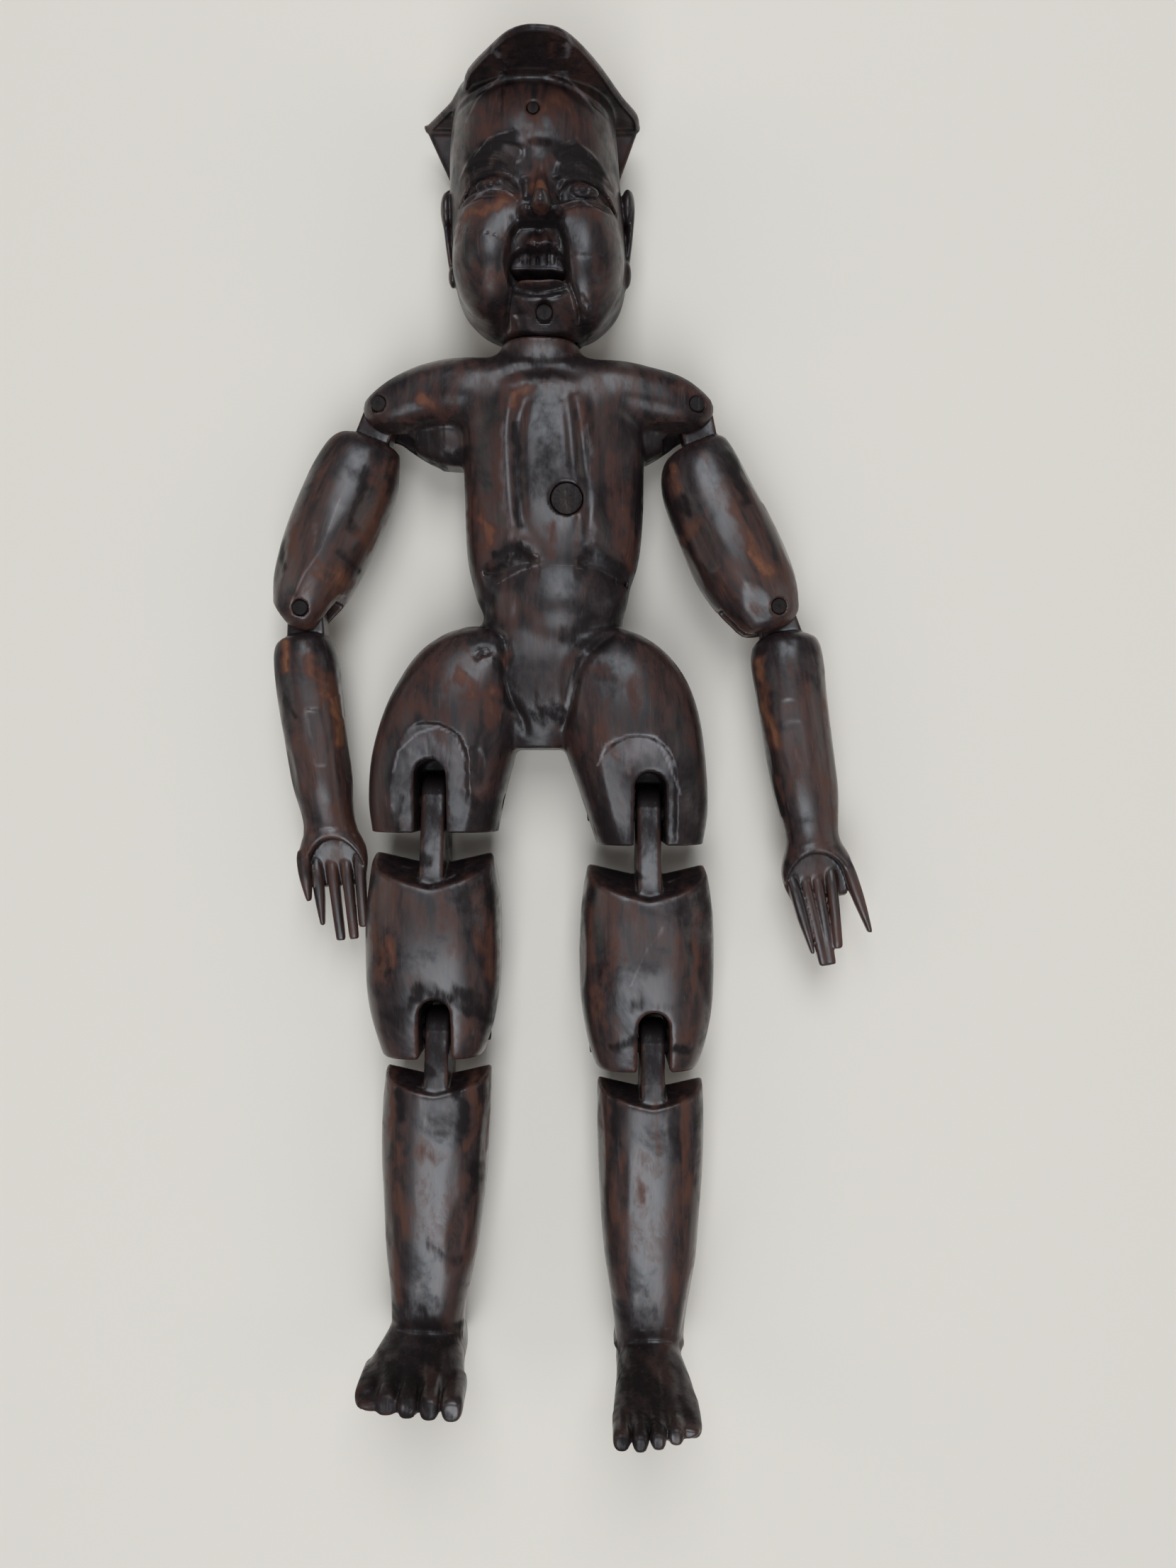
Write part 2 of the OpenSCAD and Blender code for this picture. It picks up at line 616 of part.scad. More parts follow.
// Each finger: root across the hand, tip across the hand, length, height; all are shares
left_finger_shares = [[-0.27, -0.27, 0.70, 0.06], [-0.05, -0.03, 1.00, 0.02], [0.17, 0.17, 1.00, 0.02],
    [0.38, 0.34, 0.80, 0.06]];
right_finger_shares = [[-0.38, -0.25, 0.95, 0.06], [-0.20, -0.11, 1.20, 0.02], [-0.01, 0.00, 1.20, 0.02],
    [0.20, 0.13, 0.93, 0.06]];
left_thumb_share = [-0.43, -0.40, 0.40, 0.22];
right_thumb_share = [0.40, 0.58, 0.88, 0.20];

elbow_slot_y = arm_l - arm_tongue_r - tongue_fit * 3;
ear_end = peg_r + peg_r * 1.9;
forearm_start = ear_end + arm_gap * 1.4;

module upper_arm(side) {
    turn = side == left ? left_forearm_angle : right_forearm_angle;
    shares = side == left ? left_arm_shares : right_arm_shares;
    inset = side == left ? 0 : right_arm_inset;
    color(stained) translate([side * shoulder_x, shoulder_y, axis_z]) mirror([side == left ? 1 : 0, 0, 0])
        rotate([0, 0, arm_angle(side)]) difference() {
            union() {
                translate([-inset, 0, 0]) carved(sized(shares, arm_l, arm_w, arm_d), 24, 2, 2.2);
                arm_tongue(arm_tongue_r, arm_tongue_r, -inset / 2, arm_start + overrun, arm_tongue_t);
            }
            peg_hole_z(arm_d);
            translate([0, -arm_l, 0]) {
                peg_hole_z(arm_d * 2);
                rotate([0, 0, turn - arm_angle(side)]) translate([-arm_w, -ear_end - arm_d, -arm_d])
                    cube([arm_w * 2, arm_d, arm_d * 2]);
            }
            translate([-arm_w, -arm_l * 2, -arm_slot_t / 2])
                cube([arm_w * 2, arm_l * 2 - elbow_slot_y, arm_slot_t]);
        }
}

function elbow_x(side) = side * (shoulder_x + arm_l * sin(arm_angle(side)));
function elbow_y(side) = shoulder_y - arm_l * cos(arm_angle(side));

// A tapering finger from its root to its tip
module finger(share, w, root_y, thick) {
    root_x = share[0] * w;
    tip_x = share[1] * w;
    l = share[2] * finger_l + palm_l * 0.3;
    z = share[3] * w;
    rows = [
        [-l, tip_x - root_x, thick * 0.16, thick * 0.25, thick * 0.25],
        [-l * 0.92, tip_x - root_x, thick * 0.28, thick * 0.36, thick * 0.36],
        [-l * 0.55, (tip_x - root_x) * 0.6, thick * 0.42, thick * 0.48, thick * 0.48],
        [0, 0, thick * 0.44, thick * 0.56, thick * 0.56]];
    translate([root_x, root_y + palm_l * 0.3, z - w * 0.09]) carved(rows, 10, 1, 2.4);
}

module hand(side) {
    w = side == left ? left_hand_w : right_hand_w;
    fingers = side == left ? left_finger_shares : right_finger_shares;
    thumb = side == left ? left_thumb_share : right_thumb_share;
    difference() {
        union() {
            carved(sized(palm_shares, palm_l, w, w), 20, 2, 2.3);
            for (f = fingers) finger(f, w, -palm_l, finger_t);
            finger(thumb, w, -palm_l * 0.85, finger_t * 1.15);
        }
        translate([0, -palm_l * 0.95, w * 0.50]) sphere(r = w * 0.50, $fn = 48);
    }
}

module forearm(side) {
    l = side == left ? left_forearm_l : right_forearm_l;
    w = side == left ? left_forearm_w : right_forearm_w;
    shares = side == left ? left_forearm_shares : right_forearm_shares;
    turn = side == left ? left_forearm_angle : right_forearm_angle;
    color(stained) translate([elbow_x(side), elbow_y(side), axis_z]) rotate([0, 0, side * turn])
    difference() {
        union() {
            mirror([side == left ? 1 : 0, 0, 0]) carved(sized(shares, l, w, left_forearm_w), 20, 2, 2.2);
            arm_tongue(arm_tongue_r, w * 0.30, side * w * 0.05, forearm_start + overrun, arm_tongue_t);
            translate([0, -l, 0]) hand(side);
        }
        peg_hole_z(left_forearm_w * 2);
    }
}

// A peg across an arm joint, its ends near the surfaces of the forked piece
module shoulder_pin(side) {
    front = chest_d * 0.31;
    back = chest_d * 0.34;
    color(peg_wood) translate([side * shoulder_x, shoulder_y, axis_z - back])
        cylinder(h = front + back, r = peg_r, $fn = 48);
}

module elbow_pin(side) {
    half = arm_d * 0.40;
    color(peg_wood) translate([elbow_x(side), elbow_y(side), axis_z - half])
        cylinder(h = half * 2, r = peg_r, $fn = 48);
}

// Legs

// A thigh block, from its lower end up to its ridged top: shares of the length from peg to peg
block_shares = [
    [-1.090, 0.01, 0.360, 0.36, 0.44],
    [-1.040, 0.01, 0.400, 0.39, 0.47],
    [-0.940, 0.01, 0.450, 0.43, 0.50],
    [-0.800, 0.01, 0.490, 0.465, 0.53],
    [-0.620, 0.01, 0.500, 0.49, 0.54],
    [-0.450, 0.01, 0.495, 0.485, 0.54],
    [-0.300, 0.01, 0.465, 0.455, 0.53],
    [-0.170, 0.01, 0.420, 0.42, 0.50]];
// A shin, from the ankle up to its ridged top: shares of the length from the knee peg to the crease
left_shin_shares = [
    [-1.08, -0.121, 0.34, 0.20, 0.42],
    [-1.00, -0.105, 0.335, 0.29, 0.42],
    [-0.92, -0.089, 0.355, 0.32, 0.44],
    [-0.78, -0.067, 0.41, 0.36, 0.49],
    [-0.60, -0.048, 0.455, 0.40, 0.55],
    [-0.42, -0.039, 0.48, 0.425, 0.57],
    [-0.26, -0.023, 0.487, 0.43, 0.56],
    [-0.10, 0.000, 0.475, 0.42, 0.53]];
right_shin_shares = [
    [-1.08, -0.024, 0.325, 0.20, 0.42],
    [-1.00, -0.024, 0.325, 0.29, 0.42],
    [-0.92, -0.020, 0.35, 0.32, 0.44],
    [-0.78, -0.015, 0.405, 0.36, 0.49],
    [-0.60, -0.015, 0.447, 0.40, 0.55],
    [-0.42, -0.012, 0.473, 0.425, 0.57],
    [-0.26, -0.012, 0.483, 0.43, 0.56],
    [-0.10, -0.017, 0.475, 0.42, 0.53]];
// A foot, from the heel up to the ball: along the foot, middle, half width, instep side, sole side
foot_shares = [
    [0.00, 0.00, 0.24, 0.20, 0.18],
    [0.06, 0.00, 0.33, 0.50, 0.22],
    [0.18, 0.00, 0.38, 0.72, 0.22],
    [0.36, 0.005, 0.39, 0.78, 0.22],
    [0.47, 0.02, 0.415, 0.76, 0.22],
    [0.56, 0.035, 0.445, 0.58, 0.22],
    [0.66, 0.04, 0.47, 0.40, 0.22],
    [0.74, 0.04, 0.485, 0.30, 0.22],
    [0.80, 0.04, 0.47, 0.22, 0.20]];

// How far each toe reaches, from the big toe outwards: shares of the foot
left_toe_shares = [1.00, 0.985, 0.965, 0.93, 0.87];
right_toe_shares = [1.00, 1.01, 0.99, 0.95, 0.89];

instep_rise = sole_drop - shin_l;
sole_rise = instep_rise * 0.22;
block_ridge = leg_tongue_r + peg_r * 2.8;
block_foot = peg_r * 2.5;
shin_ridge = peg_r * 4.15;

// A bevel on a leg's top end, sloping down from the ridge towards the front or the back
module bevel(ridge_y, slope, facing, reach) {
    translate([0, -ridge_y, 0]) mirror([0, 0, facing == "front" ? 0 : 1]) rotate([slope, 0, 0])
        translate([-reach, 0, -reach * 0.3]) cube([reach * 2, reach, reach * 2]);
}

module thigh_block(side) {
    color(stained) planed_flat(torso_l * 3) translate([hip_x(side), hip_y(side), axis_z]) difference() {
        union() {
            difference() {
                translate([-hip_lean, 0, 0])
                    carved(sized(block_shares, block_l, block_w, block_d), 28, 2, 3);
                bevel(block_ridge, 21, "front", block_w);
                bevel(block_ridge, 20, "back", block_w);
            }
            leg_tongue(leg_tongue_r, block_d * 0.4, block_d * 0.4, block_ridge + overrun * 2, leg_tongue_t);
        }
        peg_hole_x(block_w);
        translate([knee_lean - hip_lean, -block_l, 0]) {
            peg_hole_x(block_w * 2);
            leg_slot(leg_slot_rise, leg_slot_back, block_d);
        }
        translate([-block_w, -block_l - block_foot - block_d, -block_d])
            cube([block_w * 2, block_d, block_d * 2]);
    }
}

// A short toe that points along the foot, level with the sole
module toe(x, reach, w) {
    rows = [
        [-w * 2.6, 0, w * 0.46, w * 0.70, w * 0.60],
        [-w * 1.2, 0, w * 0.46, w * 0.70, w * 0.60],
        [-w * 0.5, 0, w * 0.52, w * 0.62, w * 0.61],
        [-w * 0.15, 0, w * 0.51, w * 0.52, w * 0.60],
        [0, 0, w * 0.43, w * 0.34, w * 0.54]];
    translate([x, w * 0.62 - sole_drop, reach]) rotate([90, 0, 0]) mirror([0, 0, 1])
        carved(rows, 12, 1, 3.2);
}

// The left foot stands further out from its joint's plane than the right one
module foot(side) {
    l = side == left ? left_foot_l : right_foot_l;
    w = side == left ? left_foot_w : right_foot_w;
    out = side == left ? left_foot_w * 0.14 : -right_foot_w * 0.04;
    toe_w = w / 5;
    toes = side == left ? left_toe_shares : right_toe_shares;
    mirror([side == left ? 1 : 0, 0, 0]) translate([out, 0, -axis_z]) {
        translate([0, sole_rise - sole_drop, 0]) rotate([90, 0, 0]) mirror([0, 0, 1])
            carved(sized(foot_shares, l, w, instep_rise), 20, 2, 2.6);
        for (i = [0:4]) toe((i - 2) * toe_w + w * 0.037, l * toes[i], toe_w);
    }
}

module lower_leg(side) {
    shares = side == left ? left_shin_shares : right_shin_shares;
    color(stained) planed_flat(torso_l * 4) translate([knee_x(side), hip_y(side) - block_l, axis_z])
    difference() {
        union() {
            difference() {
                carved(sized(shares, shin_l, shin_w, shin_d), 26, 2, 2.7);
                bevel(shin_ridge, 14, "front", block_w);
                bevel(shin_ridge, 38, "back", block_w);
            }
            leg_tongue(leg_tongue_r, shin_d * 0.38, shin_d * 0.40, shin_ridge + overrun * 2, leg_tongue_t);
            foot(side);
        }
        peg_hole_x(block_w);
    }
}

module hip_pin(side) {
    l = side == left ? stub_w * 0.95 : stub_w * 0.86;
    middle = side == left ? -leg_x + stub_w * 0.03 : leg_x + stub_w * 0.008;
    color(peg_wood) translate([middle, hip_y(side), axis_z]) rotate([0, 90, 0])
        cylinder(h = l, r = peg_r, center = true, $fn = 48);
}

module knee_pin(side) {
    color(peg_wood) translate([side * leg_x + block_w * 0.01, hip_y(side) - block_l, axis_z])
        rotate([0, 90, 0])
        cylinder(h = block_w * 0.85, r = peg_r, center = true, $fn = 48);
}

torso();
head();
upper_arm(left);  // left_upper_arm
upper_arm(right);  // right_upper_arm
forearm(left);  // left_forearm
forearm(right);  // right_forearm
thigh_block(left);  // left_thigh_block
thigh_block(right);  // right_thigh_block
lower_leg(left);  // left_lower_leg
lower_leg(right);  // right_lower_leg
neck_pin();
shoulder_pin(left);  // left_shoulder_pin
shoulder_pin(right);  // right_shoulder_pin
elbow_pin(left);  // left_elbow_pin
elbow_pin(right);  // right_elbow_pin
hip_pin(left);  // left_hip_pin
hip_pin(right);  // right_hip_pin
knee_pin(left);  // left_knee_pin
knee_pin(right);  // right_knee_pin
belly_plug();
forehead_plug();
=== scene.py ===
"""The looks of a carved wooden doll with peg joints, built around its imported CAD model.

Each wooden piece is carved in code: a billet holds the depth of wood on a fine grid, forms are joined
to it and taken from it, gouges and ridges are pressed into its front, and its skin becomes a mesh.
Lengths in the carving are millimetres in the CAD's frame: +Z is the doll's front, +Y its head.
"""
import math

import bpy
import numpy as np
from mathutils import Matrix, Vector


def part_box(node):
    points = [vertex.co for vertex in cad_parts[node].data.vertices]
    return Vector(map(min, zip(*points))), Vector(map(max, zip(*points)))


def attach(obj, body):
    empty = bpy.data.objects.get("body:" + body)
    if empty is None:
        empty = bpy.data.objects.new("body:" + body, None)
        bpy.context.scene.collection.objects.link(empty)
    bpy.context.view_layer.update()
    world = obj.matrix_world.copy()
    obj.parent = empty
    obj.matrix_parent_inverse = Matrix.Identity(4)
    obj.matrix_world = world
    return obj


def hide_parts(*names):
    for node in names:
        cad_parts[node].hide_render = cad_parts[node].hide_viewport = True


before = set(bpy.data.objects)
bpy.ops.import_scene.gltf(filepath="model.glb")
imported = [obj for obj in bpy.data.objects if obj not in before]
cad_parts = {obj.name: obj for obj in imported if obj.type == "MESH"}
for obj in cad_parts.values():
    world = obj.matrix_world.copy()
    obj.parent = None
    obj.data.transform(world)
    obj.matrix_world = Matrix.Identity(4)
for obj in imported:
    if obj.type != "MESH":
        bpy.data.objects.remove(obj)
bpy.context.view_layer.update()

SIDES = {"left": -1, "right": 1}
FAR = 1e4

# Driving sizes, the same as in the part's source
PEG_R = 3.0
AXIS_Z = 24.0
TONGUE_T, LEG_TONGUE_T, LEG_SLOT_T = 10.0, 9.6, 12.0

CHEST_W, CHEST_D, TORSO_L, CROTCH_DROP, CHEST_LEAN = 72.0, 47.0, 160.0, 90.0, 5.0
SHOULDER_X, SHOULDER_Y, SHOULDER_END, SHOULDER_H = 62.3, 44.7, 8.0, 36.0
LEG_X, HIP_LEAN, KNEE_LEAN = 42.5, 1.2, 2.7
LEG_STEP = {"left": 0.0, "right": 5.0}
STUB_W, STUB_D, STUB_L = 55.0, 51.0, 81.0
NECK_PEG = (3.0, 76.0)
THROAT_W, HEAD_W, HEAD_D, HEAD_H = 31.0, 71.0, 63.0, 90.0
PEAK_W, PEAK_Z, PEAK_T, CROWN_H = 87.6, 89.4, 3.0, 12.0
EAR_H, EAR_T = 38.0, 4.2
ARM_W, ARM_D, ARM_L = 37.0, 34.0, 85.3
ARM_ANGLE = {"left": 21.2, "right": 22.2}
ARM_INSET = {"left": 0.0, "right": 7.0}
FOREARM_W = {"left": 26.4, "right": 29.0}
FOREARM_L = {"left": 85.0, "right": 92.0}
FOREARM_ANGLE = {"left": -6.0, "right": 9.4}
HAND_W = {"left": 26.8, "right": 28.0}
PALM_L, FINGER_L, FINGER_T = 25.0, 23.0, 5.0
HIP_DROP, BLOCK_L, BLOCK_W, BLOCK_D = 111.0, 93.0, 53.6, 46.0
SHIN_W, SHIN_D, SHIN_L, SOLE_DROP = 44.0, 43.0, 111.5, 134.5
FOOT_L = {"left": 67.0, "right": 77.0}
FOOT_W = {"left": 41.5, "right": 33.0}
FOOT_OUT = {"left": 0.14, "right": -0.04}

# Room around a peg, around the head's peg, and beside an arm's or the neck's tongue
PEG_ROOM, SNUG_ROOM, TONGUE_ROOM = 0.12, 0.05, 0.35
PEG_HOLE_R = PEG_R + PEG_ROOM
ARM_SLOT_T = TONGUE_T + 2 * TONGUE_ROOM

NECK_SEAM_Y = TORSO_L - CROTCH_DROP
HEAD_FOOT_Y = NECK_SEAM_Y + TONGUE_ROOM
JAW_Y = NECK_SEAM_Y + 2.1
PEAK_Y = JAW_Y + HEAD_H * 0.99
PEAK_REACH = PEAK_Z - AXIS_Z
NOSE_X = 2.4
ARM_TONGUE_R, LEG_TONGUE_R, NECK_TONGUE_R = 7.0, 11.0, 7.4
ARM_START = ARM_TONGUE_R + PEG_R * 1.5 + 0.5
LEG_SLOT_TOP = LEG_TONGUE_R + PEG_R * 1.9
LEG_SLOT_BACK = LEG_TONGUE_R + 1.05
HIP = {side: (k * LEG_X + HIP_LEAN, -HIP_DROP - LEG_STEP[side]) for side, k in SIDES.items()}
KNEE = {side: (k * LEG_X + KNEE_LEAN, HIP[side][1] - BLOCK_L) for side, k in SIDES.items()}
SHOULDER = {side: (k * SHOULDER_X, SHOULDER_Y) for side, k in SIDES.items()}
ELBOW = {side: (k * (SHOULDER_X + ARM_L * math.sin(math.radians(ARM_ANGLE[side]))),
                SHOULDER_Y - ARM_L * math.cos(math.radians(ARM_ANGLE[side]))) for side, k in SIDES.items()}

# Tables of the carved forms: along the length, middle and half width, front and back, all as shares
TRUNK = [
    (0.00, 0.00, 0.17, 0.28, 0.25), (0.09, 0.00, 0.32, 0.41, 0.40), (0.19, 0.01, 0.41, 0.45, 0.46),
    (0.26, 0.03, 0.42, 0.45, 0.43), (0.32, 0.065, 0.375, 0.44, 0.36), (0.38, 0.07, 0.42, 0.43, 0.44),
    (0.46, 0.08, 0.470, 0.465, 0.52), (0.55, 0.085, 0.49, 0.474, 0.53), (0.66, 0.085, 0.500, 0.476, 0.53),
    (0.76, 0.08, 0.505, 0.482, 0.53), (0.85, 0.05, 0.50, 0.45, 0.53), (0.92, 0.02, 0.40, 0.38, 0.46),
    (0.965, 0.01, 0.26, 0.35, 0.34), (1.00, 0.01, 0.215, 0.36, 0.28)]
GIRDLE = [
    (-1.00, 0.00, 0.05, 0.07, 0.10), (-0.975, 0.00, 0.135, 0.18, 0.22), (-0.90, 0.005, 0.25, 0.29, 0.32),
    (-0.80, 0.05, 0.335, 0.34, 0.38), (-0.64, 0.14, 0.37, 0.38, 0.44), (-0.42, 0.18, 0.395, 0.41, 0.47),
    (0.00, 0.10, 0.46, 0.40, 0.48), (0.42, 0.16, 0.385, 0.41, 0.47), (0.64, 0.11, 0.36, 0.38, 0.44),
    (0.80, 0.05, 0.33, 0.34, 0.38), (0.90, 0.01, 0.25, 0.29, 0.32), (0.975, 0.00, 0.135, 0.18, 0.22),
    (1.00, 0.00, 0.05, 0.07, 0.10)]
ARMPIT = [
    (-0.84, -0.02, 0.20, 0.10, 0.38), (-0.74, -0.05, 0.33, 0.14, 0.44), (-0.60, -0.12, 0.42, 0.16, 0.47),
    (-0.44, -0.16, 0.44, 0.18, 0.48), (0.44, -0.16, 0.44, 0.18, 0.48), (0.60, -0.12, 0.42, 0.16, 0.47),
    (0.74, -0.05, 0.33, 0.14, 0.44), (0.84, -0.02, 0.20, 0.10, 0.38)]
STUB = {
    "left": [
        (0.00, -0.02, 0.455, 0.40, 0.42), (0.16, -0.03, 0.49, 0.46, 0.47),
        (0.38, -0.085, 0.515, 0.51, 0.485), (0.60, -0.17, 0.51, 0.53, 0.485),
        (0.76, -0.25, 0.47, 0.51, 0.46), (0.88, -0.32, 0.41, 0.45, 0.40), (0.96, -0.37, 0.30, 0.36, 0.30),
        (1.00, -0.38, 0.16, 0.22, 0.17)],
    "right": [
        (0.00, 0.035, 0.385, 0.40, 0.42), (0.16, 0.010, 0.445, 0.46, 0.47),
        (0.38, -0.055, 0.495, 0.51, 0.485), (0.60, -0.14, 0.53, 0.53, 0.485),
        (0.76, -0.21, 0.51, 0.51, 0.46), (0.88, -0.285, 0.445, 0.45, 0.40), (0.96, -0.34, 0.33, 0.36, 0.30),
        (1.00, -0.36, 0.18, 0.22, 0.17)]}
SKULL = [
    (0.000, 0.015, 0.200, 0.22, 0.12), (0.050, 0.015, 0.330, 0.31, 0.22), (0.135, 0.015, 0.430, 0.42, 0.31),
    (0.240, 0.012, 0.475, 0.515, 0.36), (0.360, 0.006, 0.485, 0.560, 0.39),
    (0.500, -0.004, 0.485, 0.575, 0.395), (0.640, -0.016, 0.480, 0.595, 0.395),
    (0.780, -0.024, 0.475, 0.602, 0.390), (0.900, -0.026, 0.465, 0.586, 0.380),
    (1.000, -0.026, 0.450, 0.560, 0.365)]
CROWN = [
    (0.00, -0.026, 0.46, 0.56, 0.375), (0.30, -0.026, 0.44, 0.50, 0.37), (0.62, -0.026, 0.38, 0.42, 0.33),
    (0.88, -0.026, 0.28, 0.31, 0.24), (1.00, -0.026, 0.16, 0.18, 0.14)]
THROAT = [
    (0.00, 0.00, 0.50, 0.29, 0.10), (0.25, 0.00, 0.51, 0.36, 0.10), (0.50, 0.00, 0.52, 0.45, 0.10),
    (0.75, 0.00, 0.52, 0.53, 0.10), (1.00, 0.00, 0.48, 0.56, 0.10)]
PEAK = [
    (-0.535, -0.104), (0.465, -0.104), (0.451, 0.061), (0.380, 0.265), (0.277, 0.607), (0.183, 0.855),
    (0.112, 0.971), (0.041, 1.000), (-0.031, 0.997), (-0.105, 0.937), (-0.187, 0.787), (-0.287, 0.566),
    (-0.347, 0.309)]
WINGS = [(-0.535, 0.04), (0.465, 0.04), (0.375, -0.29), (-0.435, -0.29)]
EAR = [
    (-0.50, -0.015, 0.20, 0.06, 0.06), (-0.38, -0.010, 0.40, 0.12, 0.13), (-0.10, 0.005, 0.46, 0.15, 0.17),
    (0.20, 0.012, 0.50, 0.18, 0.19), (0.40, 0.012, 0.44, 0.14, 0.15), (0.50, 0.005, 0.20, 0.06, 0.06)]
EAR_ENDS = {"left": [((-36.6, 124.4, 28.5), (2.4, 7.0, 5.5)), ((-34.4, 98.6, 27.0), (1.6, 4.2, 4.0))],
            "right": [((35.4, 125.6, 28.5), (2.6, 7.0, 5.5)), ((35.0, 99.5, 27.0), (2.0, 5.2, 4.5))]}
UPPER_ARM = {
    "left": [
        (-1.095, 0.05, 0.14, 0.17, 0.17), (-1.085, 0.05, 0.21, 0.26, 0.26),
        (-1.045, 0.06, 0.28, 0.36, 0.36), (-0.990, 0.065, 0.325, 0.41, 0.41),
        (-0.900, 0.06, 0.400, 0.46, 0.46), (-0.760, 0.055, 0.455, 0.49, 0.49),
        (-0.600, 0.05, 0.480, 0.50, 0.50), (-0.440, 0.04, 0.485, 0.49, 0.49),
        (-0.300, 0.03, 0.460, 0.45, 0.45), (-0.210, 0.03, 0.410, 0.39, 0.39),
        (-0.160, 0.02, 0.345, 0.31, 0.31), (-0.138, 0.01, 0.260, 0.22, 0.22)],
    "right": [
        (-1.095, 0.09, 0.16, 0.17, 0.17), (-1.085, 0.09, 0.25, 0.26, 0.26),
        (-1.045, 0.09, 0.35, 0.36, 0.36), (-0.990, 0.085, 0.400, 0.41, 0.41),
        (-0.900, 0.07, 0.465, 0.46, 0.46), (-0.760, 0.04, 0.510, 0.49, 0.49),
        (-0.600, 0.02, 0.510, 0.50, 0.50), (-0.440, 0.00, 0.490, 0.49, 0.49),
        (-0.300, 0.00, 0.460, 0.45, 0.45), (-0.210, 0.02, 0.410, 0.39, 0.39),
        (-0.160, 0.05, 0.345, 0.31, 0.31), (-0.138, 0.08, 0.260, 0.22, 0.22)]}
FOREARM = {
    "left": [
        (-1.02, 0.00, 0.36, 0.32, 0.32), (-0.92, 0.02, 0.40, 0.37, 0.37), (-0.80, 0.04, 0.45, 0.42, 0.42),
        (-0.60, 0.07, 0.465, 0.45, 0.45), (-0.40, 0.09, 0.485, 0.48, 0.48),
        (-0.24, 0.09, 0.485, 0.49, 0.49), (-0.16, 0.09, 0.445, 0.45, 0.45),
        (-0.125, 0.08, 0.36, 0.38, 0.38), (-0.108, 0.06, 0.22, 0.28, 0.28)],
    "right": [
        (-1.02, 0.01, 0.34, 0.32, 0.32), (-0.92, 0.02, 0.395, 0.37, 0.37),
        (-0.80, 0.025, 0.445, 0.42, 0.42), (-0.60, 0.03, 0.465, 0.45, 0.45),
        (-0.40, 0.05, 0.48, 0.48, 0.48), (-0.24, 0.06, 0.495, 0.49, 0.49), (-0.16, 0.065, 0.46, 0.45, 0.45),
        (-0.125, 0.05, 0.36, 0.38, 0.38), (-0.105, 0.03, 0.22, 0.28, 0.28)]}
PALM = [
    (-1.05, 0.00, 0.44, 0.17, 0.30), (-0.75, 0.00, 0.50, 0.26, 0.33), (-0.45, 0.00, 0.50, 0.32, 0.32),
    (-0.15, 0.00, 0.40, 0.31, 0.28), (0.05, 0.00, 0.34, 0.29, 0.28), (0.20, 0.00, 0.32, 0.29, 0.28)]
# Root across the hand, tip across the hand, length, height; the thumb comes last
FINGERS = {
    "left": [(-0.27, -0.27, 0.70, 0.06), (-0.05, -0.03, 1.00, 0.02), (0.17, 0.17, 1.00, 0.02),
             (0.38, 0.34, 0.80, 0.06), (-0.43, -0.40, 0.40, 0.22)],
    "right": [(-0.38, -0.25, 0.95, 0.06), (-0.20, -0.11, 1.20, 0.02), (-0.01, 0.00, 1.20, 0.02),
              (0.20, 0.13, 0.93, 0.06), (0.40, 0.58, 0.88, 0.20)]}
# The hollow of each hand: its middle and half width across the hand
BOWL = {"left": (0.03, 0.42), "right": (-0.04, 0.44)}
THIGH_BLOCK = [
    (-1.090, 0.01, 0.360, 0.36, 0.44), (-1.040, 0.01, 0.400, 0.39, 0.47), (-0.940, 0.01, 0.450, 0.43, 0.50),
    (-0.800, 0.01, 0.490, 0.465, 0.53), (-0.620, 0.01, 0.500, 0.49, 0.54),
    (-0.450, 0.01, 0.495, 0.485, 0.54), (-0.300, 0.01, 0.465, 0.455, 0.53),
    (-0.170, 0.01, 0.420, 0.42, 0.50)]
SHIN = {
    "left": [
        (-1.08, -0.121, 0.34, 0.20, 0.42), (-1.00, -0.105, 0.335, 0.29, 0.42),
        (-0.92, -0.089, 0.355, 0.32, 0.44), (-0.78, -0.067, 0.41, 0.36, 0.49),
        (-0.60, -0.048, 0.455, 0.40, 0.55), (-0.42, -0.039, 0.48, 0.425, 0.57),
        (-0.26, -0.023, 0.487, 0.43, 0.56), (-0.10, 0.000, 0.475, 0.42, 0.53)],
    "right": [
        (-1.08, -0.024, 0.325, 0.20, 0.42), (-1.00, -0.024, 0.325, 0.29, 0.42),
        (-0.92, -0.020, 0.35, 0.32, 0.44), (-0.78, -0.015, 0.405, 0.36, 0.49),
        (-0.60, -0.015, 0.447, 0.40, 0.55), (-0.42, -0.012, 0.473, 0.425, 0.57),
        (-0.26, -0.012, 0.483, 0.43, 0.56), (-0.10, -0.017, 0.475, 0.42, 0.53)]}
FOOT = [
    (0.00, 0.00, 0.24, 0.20, 0.18), (0.06, 0.00, 0.33, 0.50, 0.22), (0.18, 0.00, 0.38, 0.72, 0.22),
    (0.36, 0.005, 0.39, 0.76, 0.22), (0.47, 0.02, 0.415, 0.67, 0.22), (0.56, 0.035, 0.445, 0.53, 0.22),
    (0.66, 0.04, 0.47, 0.37, 0.22), (0.76, 0.04, 0.485, 0.22, 0.22), (0.86, 0.04, 0.475, 0.08, 0.20),
    (0.93, 0.04, 0.455, 0.04, 0.18)]
